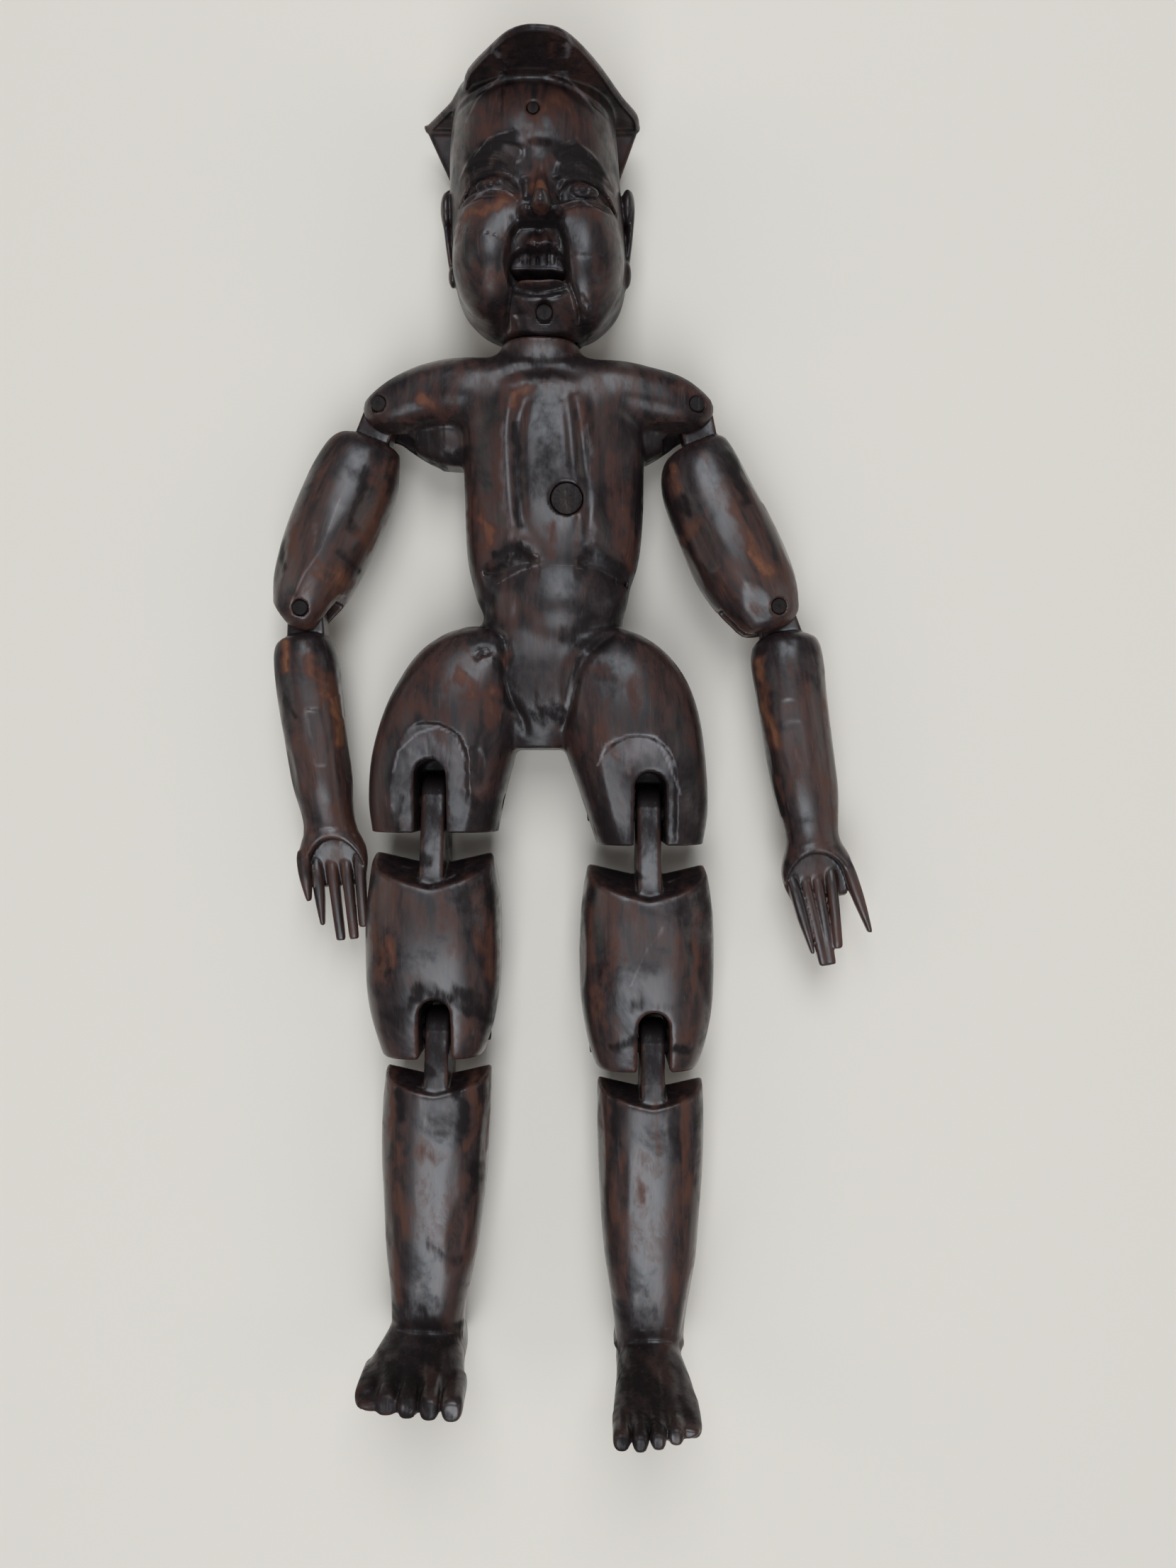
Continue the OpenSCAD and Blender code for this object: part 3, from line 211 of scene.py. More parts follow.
# For each eye: the brow's outline, its cuts, the upper lid, the lower lid and the middle of the eyeball
EYES = {
    "left": ([(-29.3, 127.2), (-27.3, 130.0), (-25.8, 131.7), (-23.4, 133.3), (-20.0, 134.5),
              (-16.6, 135.1), (-11.8, 134.7), (-8.0, 133.9), (-5.4, 132.0), (-4.4, 129.4), (-6.5, 126.5),
              (-10.5, 127.1), (-14.5, 128.5), (-20.0, 129.6), (-24.0, 128.8)],
             ([(-24.0, 131.3), (-20.0, 131.3), (-14.5, 129.9), (-10.5, 128.0), (-8.1, 126.6)],
              [(-27.4, 128.0), (-22.9, 128.5), (-17.3, 128.0), (-12.4, 126.6), (-8.6, 124.4)],
              [(-26.9, 124.6), (-21.2, 126.1), (-15.9, 125.9), (-11.3, 124.9), (-7.6, 122.2)]),
             [(-29.3, 117.4), (-26.6, 120.9), (-24.4, 123.2), (-21.2, 124.1), (-17.3, 124.2),
              (-12.9, 123.3), (-9.2, 121.3), (-6.2, 117.6)],
             [(-29.1, 117.6), (-26.0, 118.2), (-22.4, 118.5), (-17.3, 118.0), (-12.4, 117.2), (-9.7, 116.2),
              (-7.1, 114.5), (-6.0, 113.6)],
             (-16.2, 120.9)),
    "right": ([(7.4, 121.7), (8.2, 125.6), (9.3, 129.0), (11.1, 132.0), (14.0, 133.9), (17.2, 134.8),
               (20.4, 133.9), (23.1, 132.1), (25.2, 129.6), (27.4, 127.9), (29.4, 125.8), (26.1, 127.0),
               (22.5, 127.4), (18.8, 127.5), (15.1, 126.7), (11.9, 125.0), (9.3, 122.3)],
              ([(9.3, 123.5), (11.9, 125.4), (15.1, 127.1), (18.8, 128.0), (22.5, 127.8), (26.1, 127.2),
                (29.1, 126.1)],
               [(8.5, 120.2), (11.1, 122.4), (15.1, 124.6), (19.3, 125.6), (23.3, 125.1), (26.9, 124.6),
                (30.0, 123.6)],
               [(8.3, 127.0), (11.5, 129.6), (16.0, 131.0), (21.0, 130.4), (25.0, 128.6)]),
              [(8.3, 117.0), (11.4, 120.4), (15.1, 122.0), (18.8, 122.5), (22.0, 122.1), (25.2, 121.3),
               (28.0, 119.6), (30.4, 116.0)],
              [(8.6, 111.4), (11.9, 112.9), (15.1, 114.2), (18.8, 115.0), (22.0, 115.3), (25.2, 115.4),
               (28.5, 115.2), (30.4, 114.8)],
              (17.2, 118.6))}
# Cuts across an upper arm's lower end: degrees outwards from the forearm, and pegs' radii below the peg
ARM_END_CUTS = {"left": [(0, 2.9), (22, 2.84), (42, 2.82), (61, 2.82)], "right": [(0, 2.9)]}
# Ridges between the knife's flats: a line in plan, a half width and a height
KNIFE_RIDGES = {"left": [([(-76.6, 4.0), (-83.5, -13.5), (-90.5, -23.5), (-96.0, -34.5)], 6.5, 0.55)],
                "right": [([(67.6, -2.0), (78.0, -20.0), (86.0, -33.0)], 6.0, 0.45)]}
# A toe, from its tip back, in shares of its width
TOE = [
    (-2.6, 0, 0.48, 0.62, 0.60), (-1.2, 0, 0.49, 0.60, 0.60), (-0.5, 0, 0.50, 0.52, 0.61),
    (-0.15, 0, 0.48, 0.42, 0.60), (0, 0, 0.40, 0.26, 0.54)]
TOE_REACH = {"left": (1.00, 0.985, 0.965, 0.93, 0.87), "right": (1.00, 1.01, 0.99, 0.95, 0.89)}

# Worn red places, places darkened by soot and by painted shade, and pale places, some rubbed and some
# painted highlights and sheen, on the front: each is a half width, a strength and a line's points
MARKS = {
    "head": {
        "red": [
            (14, 0.6, (-14, 146), (14, 146)), (7, 0.4, (-28, 120), (-29, 95)),
            (7, 0.4, (30, 120), (31, 95)), (9.6, 0.75, (-17.3, 145), (-4.1, 149.8), (11.9, 147.2)),
            (5.6, 1, (-0.1, 145.8), (9.2, 149.8), (11.9, 149.8)),
            (3.6, 0.7, (12.7, 151.1), (15.9, 141.9)), (5.2, 0.7, (-25.3, 141.9), (-17.3, 137.9)),
            (3.2, 0.7, (15.9, 139.2), (18.8, 136)), (4.8, 1, (2.6, 124.6), (1.2, 117.4)),
            (3.2, 1.7, (-0.3, 118.5), (2.3, 114.2)), (4.8, 1.2, (-26.6, 110), (-10.7, 113.2)),
            (3.6, 0.8, (-29.3, 102), (-26.6, 108.7)), (2.8, 0.8, (-28.5, 118.5), (-26.6, 121.9)),
            (4.1, 0.8, (13.2, 110.8), (25.1, 109.5)), (4.8, 0.9, (-20, 88.2), (-14.2, 85.6)),
            (2.4, 0.9, (-5.4, 85), (9.2, 85.8)), (2.8, 0.7, (-2.7, 100.4), (5.2, 102)),
            (2, 0.9, (-17.9, 121.7), (-14.7, 122.2)), (2, 0.7, (14.5, 120.1), (21.2, 121.1)),
            (5.6, 0.5, (25.1, 88.8), (22.5, 72.8)), (4.8, 0.4, (-25.3, 83.4), (-22.1, 72.8))],
        # Under the jaw, under the chin and under the nose these strokes are painted shade; the rest darken
        # the brows, the eyes, the cracks beside the mouth, the line under the lower lip and the crease
        # below the cap's peak.
        "soot": [
            (3.7, 1.3, (-24.2, 129.1), (-17.3, 134.2), (-7.8, 135)),
            (3.7, 1.3, (9.2, 129.1), (15.9, 133.6), (22.5, 127)),
            (2.1, 0.6, (-21.3, 120.1), (-8.8, 121.1)), (2.1, 0.6, (11.3, 119.3), (23, 117.7)),
            (3.5, 0.8, (-25.3, 123.3), (-14.7, 126.5), (-6.2, 123.3)),
            (3.5, 0.8, (9.2, 123.3), (18.5, 125.9), (26.5, 120.1)),
            (1.9, 0.9, (-8.3, 106.8), (-8.8, 94.1), (-9.4, 83.4)),
            (1.9, 0.8, (10.8, 104.7), (11.9, 83.4)), (4.2, 0.8, (-15.2, 78.1), (-17.3, 64.9)),
            (3.7, 1.1, (18.5, 72.8), (20.4, 64.9)), (4.2, 0.8, (-5.4, 68.8), (11.9, 66.2)),
            (2.4, 0.5, (-4.6, 102.6), (8.7, 102.6)), (1.3, 0.8, (-8.8, 82.1), (9.2, 81.3)),
            (2.1, 0.6, (-22.6, 153.8), (-1.4, 159.6), (22.5, 149.8))],
        # The strokes between the brows, on both cheeks and on the upper lip are painted highlights; the
        # others are pale lines along the cap's crease, the lower lids and the brows.
        "pale": [
            (0.9, 0.7, (-26.6, 147.2), (-22.1, 153.8), (-12, 160.4), (1.2, 161.8), (11.9, 159.9),
             (22, 151.9)),
            (1.6, 0.5, (-5.4, 135.2), (1.8, 129.9)), (1.6, 0.45, (-14.7, 108.7), (-13.4, 103.4)),
            (2.1, 0.4, (12.7, 100.7), (15.1, 98)),
            (0.7, 0.8, (-26.6, 114.8), (-22.1, 117.4), (-16, 118.8), (-10.7, 117.4), (-8.3, 115.3)),
            (0.7, 0.6, (9.2, 112.1), (17.2, 114.5), (25.1, 111.9)),
            (0.5, 0.5, (-2.7, 98.8), (1.2, 98), (7.9, 99.1)), (1.1, 0.4, (-5.4, 95.7), (-0.1, 96.2)),
            (1.1, 0.4, (3.4, 95.7), (8.7, 96.2)),
            (0.6, 0.6, (-23.2, 131.8), (-17.3, 137.1), (-8, 138.4)),
            (0.6, 0.5, (9.2, 133.9), (15.9, 137.6), (21.2, 131.2))]},
    "torso": {
        "red": [
            (16, 0.55, (-42, -62), (-36, -80)), (16, 0.55, (38, -66), (34, -84)),
            (11, 0.5, (-45, 47), (-22, 52)), (11, 0.5, (30, 50), (52, 46)),
            (8, 0.45, (-24, 30), (-25, -8)), (8, 0.4, (31, 25), (32, -10)),
            (3.3, 1.3, (-44.4, 44.6), (-41.1, 42.9)), (2.8, 0.7, (-53.6, 38), (-31.9, 42.9)),
            (2.1, 0.8, (-45.5, 54.4), (-44.4, 52.7)), (3.6, 0.8, (53.9, 50.6), (67.5, 46.8)),
            (2.8, 0.7, (44.3, 37), (62, 35.3)), (2.8, 1.2, (-9.6, 41.3), (-6.8, 46.5), (-1.9, 48.7)),
            (7.4, 0.9, (-24.2, 6.5), (-18.3, -11.2)), (4.1, 1.3, (-21.5, -1.1), (-18.3, -11.2)),
            (4.1, 0.5, (-31.9, 28.3), (-25.9, 6.5)), (3.3, 0.7, (28.5, 22.8), (31.3, -9.8)),
            (3.3, 1, (34.8, 2.4), (35.6, -18)), (2.4, 0.8, (17.1, 44.6), (17.7, 32.3)),
            (3.3, 0.8, (4.1, -4.9), (5.7, -16.6)), (2.8, 0.6, (14.9, 2.4), (15.8, -12.6)),
            (8.1, 0.7, (-39.5, -57.5), (-30.5, -68.4)), (4.5, 1.1, (-29.1, -62.9), (-25.1, -71.1)),
            (4.5, 1, (-18.3, -68.4), (-15.5, -76.5)), (4.5, 0.5, (-42.8, -53.4), (-30.5, -47.4)),
            (4.9, 0.7, (-45.5, -75.2), (-18.3, -78.4)), (8.1, 0.7, (29.4, -62.9), (48.4, -71.1)),
            (3.3, 1, (23.9, -83.3), (30.2, -92)), (4.1, 0.6, (55.8, -57.5), (62, -91.5)),
            (1.7, 1.1, (-11.7, -53.9), (-12.5, -59.4)), (3.6, 0.6, (-61.8, -91.5), (-53.6, -75.2)),
            (5.7, 0.5, (-15.5, 52.7), (25.3, 51.4)), (3.3, 0.8, (-15.5, 33.7), (-15.5, 6.5))],
        # The strokes under the rib ledges, under the left shoulder and along the right flank beside the arm
        # are painted shade; the rest darken the chest's grooves, the creases of the belly and groin, the
        # neck's foot, the crotch and the bottoms of the thigh forks.
        "soot": [
            (3.3, 0.8, (-17.7, -21.5), (-9.6, -16.4), (-3, -14.2)),
            (2.7, 0.75, (17.1, -18), (22, -17.5), (30.7, -21.5)),
            (8.2, 0.6, (-49.6, -120.1), (-18.3, -120.1)), (8.2, 0.6, (28, -124.1), (57.9, -124.1)),
            (10.9, 0.5, (-6, -64.3), (9, -77.9)), (4.1, 0.7, (-11.5, 60.9), (25.3, 59.5)),
            (3.3, 0.8, (-3.3, 54.1), (9, 53.6)), (6.5, 0.9, (-45.5, 32.3), (-31.9, 25.5)),
            (3.3, 1, (-15.5, -15.3), (-6, -13.9)), (2.4, 0.9, (19.3, -14.2), (33.4, -19.4)),
            (4.1, 0.9, (21.2, -39.8), (11.7, -49.3)), (3.5, 0.9, (-25.1, -32.2), (-18.3, -40.3)),
            (6.5, 0.9, (-6, -75.2), (9, -78.4)), (3.3, 1, (15.8, -49.3), (25.3, -51.2)),
            (2.4, 0.9, (-15.5, -56.1), (-7.9, -68.4)), (2.2, 0.9, (-7.9, 33.7), (-6.8, -4.4)),
            (1.9, 0.6, (14.4, 39.1), (16, 6.5)), (4.4, 0.8, (44.3, 22.8), (43, 6.5)),
            (3.3, 0.8, (-53.6, -107.8), (-53.6, -120.1)), (3.8, 0.7, (-29.1, -107.8), (-18.3, -118.7)),
            (3.3, 0.7, (25.3, -110.5), (28, -124.1)), (3.3, 0.7, (52.5, -116), (57.9, -124.1)),
            (2.4, 0.8, (17.1, -53.4), (14.9, -64.3)), (6, 0.5, (-42.8, -121.4), (-18.3, -121.4))],
        # The strokes along both chest crests, the thin lines and the patch on the belly, the lit edge at
        # the waist and the broad strokes on the two hip flats are painted highlights and sheen; the lines
        # round the arches are rubbed edges.
        "pale": [
            (2.2, 0.55, (-12.3, 33.7), (-12.3, 6.5), (-10.1, -9.3)),
            (1.9, 0.55, (19.3, 33.7), (20.4, 6.5), (22, -10.9)),
            (0.7, 1, (-55, -99.6), (-52.8, -91.5), (-45.5, -84.7), (-37.3, -82), (-30.5, -85.2),
             (-27.5, -94.7)),
            (0.7, 1, (23.4, -96.9), (26.6, -88.8), (36.2, -85.5), (45.7, -86), (49.8, -94.2),
             (55.2, -107.8)),
            (0.5, 0.7, (-15.5, -26.2), (-6, -21.3), (2.1, -19.4)),
            (0.5, 0.7, (2.1, -19.4), (11.7, -19.9), (19.8, -21.5)),
            (3.3, 0.35, (-10.1, -37.6), (-5.2, -31.6)), (0.8, 0.5, (-20.2, -33), (-20.7, -40.3)),
            (7.1, 0.62, (-45.5, -92), (-34.6, -90.9)), (7.1, 0.66, (33.4, -91.5), (43, -90.9))]},
    "left_upper_arm": {
        "red": [
            (3.8, 0.6, (-79.4, 32.8), (-87.7, 7.9)), (3.8, 0.8, (-59.6, 21.7), (-65.6, -4.5)),
            (3.8, 1, (-70.3, -5.8), (-65.1, -9.7)), (6.1, 1, (-84.9, -19.1), (-76.1, -25.7)),
            (3.8, 0.7, (-96.5, -5.8), (-93.2, -17.4)), (3.3, 0.5, (-90.5, 2.4), (-91.8, -8.6)),
            (4.2, 0.6, (-98.7, -36.2), (-87.7, -27.9))],
        "soot": [
            (2.8, 0.8, (-67, 19), (-73.4, -4.5)), (2.2, 0.7, (-100.9, -8.6), (-99.3, -19.6)),
            (2.8, 0.5, (-87.7, 24.5), (-96, 2.4)), (2.5, 0.8, (-76.7, -14.1), (-71.2, -19.6))],
        # Both strokes are painted highlights along the knife's ridge.
        "pale": [
            (0.7, 0.7, (-76.7, 6.6), (-83.6, -12.7), (-90.5, -22.4), (-96.5, -33.4)),
            (2.8, 0.3, (-87.7, -3.1), (-83.6, -11.4))]},
    "right_upper_arm": {
        "red": [
            (2.1, 1.3, (52.9, 21.7), (55.4, 10.2)), (3.3, 1, (63.4, -1.1), (55.7, -9.1)),
            (3.3, 1.1, (76.4, 4.6), (86, -14.1), (90.2, -22.9)),
            (2.5, 1.4, (83.3, -14.1), (88.2, -21.8)), (3.8, 0.6, (66.7, 24.5), (70, 10.7)),
            (3.3, 0.6, (66.7, -19.6), (77.7, -30.7)), (2.8, 0.6, (83.3, -33.4), (91.5, -38.9))],
        "soot": [
            (3.6, 0.9, (75, 24.5), (81.1, 6.6)), (3, 0.9, (55.7, 7.9), (59.8, 1.9)),
            (2.8, 0.6, (64, -16.9), (69.5, -25.1)), (1.9, 0.6, (55.7, -19.6), (66.7, -33.4))],
        "pale": [
            (0.7, 0.5, (50.2, 23.9), (59.8, 32.8)), (0.7, 0.5, (87.4, -29.3), (92.9, -38.4))]},
    "left_forearm": {
        "red": [
            (9.4, 0.55, (-88.4, -124.5), (-92.6, -144)), (2.1, 1.4, (-99.8, -48.2), (-98.7, -59.3)),
            (5.4, 1, (-89.8, -55.2), (-83.4, -67.6)), (2.8, 1.4, (-80.1, -70.4), (-77.9, -88.5)),
            (2.5, 0.6, (-97.3, -74.6), (-92.6, -98.2)), (3.3, 1, (-82.3, -127.3), (-78.7, -136.2)),
            (1.2, 0.9, (-82, -144), (-79.5, -161.2)), (1.2, 0.7, (-76.2, -144), (-74.2, -161.2)),
            (1.2, 0.8, (-71.8, -141.2), (-70.1, -159.2)), (3.8, 0.6, (-88.4, -107.9), (-80.1, -116.2))],
        "soot": [
            (7.2, 0.45, (-92.6, -155.1), (-88.4, -170.3)), (3.3, 0.6, (-92.6, -139.8), (-82.9, -139.8)),
            (1.9, 0.8, (-99.5, -70.4), (-95.3, -77.9)), (1.7, 1, (-88.4, -141.2), (-85.6, -155.1)),
            (1.1, 1.1, (-84.2, -139.8), (-83.4, -155.1)), (1.1, 1.1, (-78.1, -141.2), (-77.3, -157.8)),
            (1.1, 1, (-73.1, -141.2), (-72.6, -157.8)), (1.9, 0.6, (-94, -46.8), (-88.4, -44.1))],
        # The first stroke is a painted sheen down the forearm; the others are pale lines about the hand.
        "pale": [
            (1.4, 0.45, (-91.2, -74.6), (-87, -96.8), (-84.2, -110.7)),
            (0.9, 0.32, (-93.1, -139), (-90.3, -128.7), (-82.3, -123.4), (-72.6, -124.5)),
            (0.7, 0.28, (-94.5, -141.2), (-92.8, -150.1)),
            (0.6, 0.21, (-91.2, -119), (-85.6, -117.3), (-83.7, -120.7))]},
    "right_forearm": {
        "red": [
            (9.4, 0.45, (105.9, -127.3), (111.4, -144)),
            (2.5, 1.1, (87.8, -55.2), (90.6, -77.4), (94.8, -89)),
            (3.8, 0.6, (99.8, -55.2), (105.3, -74.6)), (2.1, 0.8, (94.8, -102.3), (96.4, -110.7)),
            (2.5, 0.7, (112.8, -91.2), (113.6, -105.1)), (2.1, 0.5, (108.7, -49.6), (111.4, -60.7))],
        "soot": [
            (7.2, 0.85, (103.1, -137), (112, -140.6)), (9.4, 0.6, (108.7, -155.1), (112.8, -177.3)),
            (4.2, 0.9, (105.9, -139), (114.8, -137.3)),
            (1.7, 0.9, (84.2, -55.2), (89.2, -88.5), (97, -116.2)),
            (1.4, 0.9, (108.7, -148.1), (111.4, -170.3)), (2.8, 0.6, (103.1, -155.1), (107.3, -170.3))],
        # The first stroke is a painted sheen down the forearm; the others are pale lines about the hand.
        "pale": [
            (2.8, 0.3, (103.1, -91.2), (108.7, -119)),
            (0.8, 0.32, (98.4, -144.5), (102.5, -134.5), (110.9, -130.1), (117.5, -131.2)),
            (0.7, 0.24, (121.1, -139), (127.2, -156.5)), (0.6, 0.14, (98.1, -123.2), (117, -123.4))]},
    "left_thigh_block": {
        "red": [
            (3.6, 0.79, (-61.6, -145.8), (-60, -179.8)), (2.4, 0.94, (-56.5, -164.3), (-55.4, -173.5)),
            (3.6, 0.63, (-36.6, -147.2), (-33.9, -156.7)), (3.6, 0.72, (-22.3, -144.5), (-20.9, -167.5)),
            (3.3, 0.72, (-17.6, -154), (-17.6, -178.4)), (4.9, 0.45, (-53.5, -178.4), (-42.6, -181.1))],
        "soot": [
            (5.4, 0.9, (-54.8, -194.7), (-45.9, -185.2), (-31.8, -185.2), (-19.5, -194.7)),
            (3.5, 1.2, (-53.5, -131.7), (-42.6, -134.4)), (3.5, 1.2, (-31.8, -134.4), (-19.5, -130.1)),
            (2.4, 0.5, (-27.7, -145.8), (-27.7, -170.3))],
        # The first stroke is a painted highlight on the block's top; the other is a pale line across its
        # top.
        "pale": [
            (2.4, 0.35, (-43.2, -142.6), (-39.4, -145.3)),
            (0.5, 0.5, (-53.5, -136.6), (-35, -141.2), (-17.1, -129.5))]},
    "right_thigh_block": {
        "red": [
            (6.1, 0.54, (34.8, -152.6), (28, -179.8)), (3.3, 0.72, (22, -183.8), (25.3, -198.8)),
            (3.3, 0.72, (61.9, -154), (60.6, -183.8)), (2.8, 0.72, (31.2, -194.7), (29.6, -206.1)),
            (3.3, 0.54, (19.8, -151.2), (19.8, -173)), (3.6, 0.54, (55.1, -164.8), (56.5, -183.8))],
        "soot": [
            (3, 0.9, (30.2, -205.5), (36.7, -202.8)), (2.4, 0.9, (53.8, -206.1), (59.2, -208.3)),
            (3.3, 1.2, (25.3, -137.1), (37.5, -140.4)), (3, 1.2, (51.1, -140.4), (58.4, -137.1)),
            (3.8, 0.5, (36.1, -189.3), (55.1, -189.3))],
        # The first two strokes are painted highlights down the block; the other is a pale line across its
        # top.
        "pale": [
            (0.8, 0.6, (42.1, -167.5), (36.1, -181.7)), (1.1, 0.45, (48.3, -159.4), (41, -170.3)),
            (0.5, 0.4, (24.7, -142), (40.2, -146.4), (59.2, -140.4))]},
    "left_lower_leg": {
        "red": [
            (2.8, 0.79, (-57.7, -214.5), (-56.9, -238.4), (-54.7, -252)),
            (4.6, 0.8, (-49.4, -247), (-40, -249.3)), (2.4, 0.6, (-38, -249.3), (-29.1, -245.2)),
            (3.6, 0.72, (-55.5, -260.2), (-50.9, -277.9)), (2.4, 0.86, (-25.3, -219.4), (-23.2, -236.3)),
            (1.7, 0.72, (-18.3, -214.5), (-20.4, -249.3)), (1.2, 0.86, (-35.1, -219.9), (-25.9, -215.3)),
            (1.7, 0.79, (-27.8, -246), (-23.2, -238.4)), (3.3, 0.54, (-42.8, -260.2), (-40, -265.6)),
            (2.4, 0.63, (-25.1, -265.6), (-29.1, -282)), (2.1, 0.63, (-56.4, -282), (-54.7, -306.5))],
        # The wide stroke over the foot is painted shade.
        "soot": [
            (2.4, 1, (-53.6, -223.5), (-53.1, -233)), (2.7, 1.1, (-30.5, -223.5), (-28.3, -238.4)),
            (3, 0.8, (-24.2, -253.4), (-26.4, -267)), (3.5, 0.6, (-42.8, -283.3), (-31.9, -290.1)),
            (3.3, 1.2, (-53.6, -212.6), (-42.8, -217.2)), (3, 1.2, (-31.9, -217.2), (-20.4, -212.3)),
            (16.3, 0.9, (-42.8, -321.4), (-48.2, -343.2))],
        # The first three strokes are painted highlights down the shin.
        "pale": [
            (3.5, 0.4, (-45.5, -225.4), (-40.6, -239.8)), (1.6, 0.5, (-47.4, -260.2), (-45.5, -277.1)),
            (2.2, 0.45, (-47.4, -302.4), (-48.2, -309.7)), (0.5, 0.5, (-36.8, -262.9), (-31.9, -258))]},
    "right_lower_leg": {
        "red": [
            (2.8, 0.72, (23.9, -219.9), (26.6, -238.4), (30.2, -273.8)),
            (4.5, 0.72, (34.3, -249.3), (40.2, -265.6)), (2.4, 0.72, (56.6, -227.5), (58.5, -265.6)),
            (2.4, 0.72, (45.7, -227.5), (47, -256.1)), (2.4, 0.54, (33.4, -276.5), (34, -305.1)),
            (2.1, 0.63, (55.2, -271.1), (53.9, -306.5))],
        # The wide stroke over the foot is painted shade.
        "soot": [
            (2.2, 0.8, (29.4, -222.1), (30.7, -243.9)), (16.3, 0.9, (38.9, -332.3), (44.3, -355.4)),
            (3.3, 1.2, (26.6, -219.4), (37.5, -223.7)), (2.7, 1.2, (51.1, -223.7), (59.3, -219.9)),
            (2.2, 0.6, (52.5, -227.5), (53, -249.3)), (3.3, 0.5, (38.9, -298.3), (47, -311.9))],
        # The first and the last strokes are painted highlights down the shin.
        "pale": [
            (2.2, 0.4, (49.2, -233), (52.5, -256.1)), (0.8, 0.5, (40.2, -317.9), (52.5, -317.3)),
            (2.2, 0.3, (40.2, -238.4), (42.2, -249.3))]}}

AIR = np.float32(40.0)


# Carving tools

def smooth_low(a, b, blend):
    """The lower of two depths, with a rounded join of the given size."""
    if blend <= 0:
        return np.minimum(a, b)
    t = np.clip(0.5 + 0.5 * (b - a) / blend, 0, 1)
    return b + (a - b) * t - blend * t * (1 - t)


def through(points, steps):
    """Fine points on a smooth curve that passes through each of the given ones."""
    p = np.array([points[0], *points, points[-1]], float)
    curve = []
    for a, b, c, d in zip(p, p[1:], p[2:], p[3:]):
        square, cube = a * 2 - b * 5 + c * 4 - d, b * 3 - a - c * 3 + d
        for t in np.arange(steps) / steps:
            curve.append(b + (c - a) * t / 2 + square * t * t / 2 + cube * t ** 3 / 2)
    return curve + [p[-1]]


def smooth_rows(rows, length=1, width=1, depth=1, steps=8):
    """A fine table in millimetres through rows of shares, on a curve that passes through each row."""
    fine = np.array(through(np.array(rows, float) * (length, width, width, depth, depth), steps))
    fine[:, 0] = np.maximum.accumulate(fine[:, 0])
    return fine.astype(np.float32)


def carved(table, box=2.3):
    """A form along Y through a fine table; box 2 is an oval, more is squarer."""
    def form(x, y, z):
        middle, half, front, back = (np.interp(y, table[:, 0], column).astype(np.float32)
                                     for column in table.T[1:])
        u = np.abs(x - middle)
        w = np.abs(z)
        n = ((u / half) ** box + (w / np.where(z > 0, front, back)) ** box) ** (1 / box)
        reach = np.hypot(u, w)
        side = np.where(n < 0.1, -half * 0.6, reach - reach / np.maximum(n, 0.05))
        return np.maximum(side, np.maximum(table[0, 0] - y, y - table[-1, 0]))
    return form


def placed(form, place, turn=0.0, mirror=1):
    """A form mirrored across X where mirror is -1, turned about Z inside that, and moved to a place."""
    c, s = math.cos(math.radians(turn)), math.sin(math.radians(turn))

    def moved(x, y, z):
        u, v = mirror * (x - place[0]), y - place[1]
        return form(c * u + s * v, c * v - s * u, z - place[2])
    return moved


def ball(centre, radii):
    """An oval mound."""
    def form(x, y, z):
        u, v, w = ((a - c) / r for a, c, r in zip((x, y, z), centre, radii))
        n = np.sqrt(u * u + v * v + w * w)
        return (n - 1) * min(radii)
    return form


def peg_bore(place, radius, along="z"):
    """A round bore through everything, along X or Z."""
    def form(x, y, z):
        across = x - place[0] if along == "z" else z - place[2]
        return np.hypot(across, y - place[1]) - radius
    return form


def slab(low, high, rounding=0.0):
    """A box between two corners."""
    def form(x, y, z):
        gaps = [np.maximum(a - v, v - b) + rounding for v, a, b in zip((x, y, z), low, high)]
        inside = np.minimum(np.maximum(np.maximum(gaps[0], gaps[1]), gaps[2]), 0)
        return inside + np.sqrt(sum(np.maximum(g, 0) ** 2 for g in gaps)) - rounding
    return form


def both(first, second):
    """What two forms share."""
    return lambda x, y, z: np.maximum(first(x, y, z), second(x, y, z))


def half_space(point, normal):
    """Everything behind a plane; the normal points out of the wood."""
    normal = np.array(normal, float) / np.linalg.norm(normal)

    def form(x, y, z):
        return (x - point[0]) * normal[0] + (y - point[1]) * normal[1] + (z - point[2]) * normal[2]
    return form


def valley(place, half, lean, slope, facing):
    """Everything above a sloping top face that also sinks towards its middle."""
    c, s = math.cos(math.radians(slope)), math.sin(math.radians(slope))
    left, right = (half_space((place[0] + k * half, place[1], place[2]), (k * lean, -c, -facing * s))
                   for k in (-1, 1))
    return both(left, right)


def from_line(x, y, points):
    """Distance in plan to a line through the points, and how far along it, from 0 to 1."""
    steps = [math.dist(a, b) for a, b in zip(points, points[1:])]
    best = along = None
    done = 0.0
    for (ax, ay), (bx, by), step in zip(points, points[1:], steps):
        ux, uy = bx - ax, by - ay
        t = np.clip(((x - ax) * ux + (y - ay) * uy) / max(ux * ux + uy * uy, 1e-6), 0, 1)
        d = np.hypot(x - ax - t * ux, y - ay - t * uy)
        share = (done + t * step) / sum(steps)
        if best is None:
            best, along = d, share
        else:
            along = np.where(d < best, share, along)
            best = np.minimum(best, d)
        done += step
    return best, along


def bend(points, steps=4):
    """The same points with a smooth curve between them."""
    return [tuple(place) for place in through(points, steps)]


def ellipse(middle, wide, high, start, end, count):
    """Points in plan along an ellipse, from one angle to another in radians."""
    return [(middle[0] + wide * math.cos(a), middle[1] + high * math.sin(a))
            for a in np.linspace(start, end, count)]


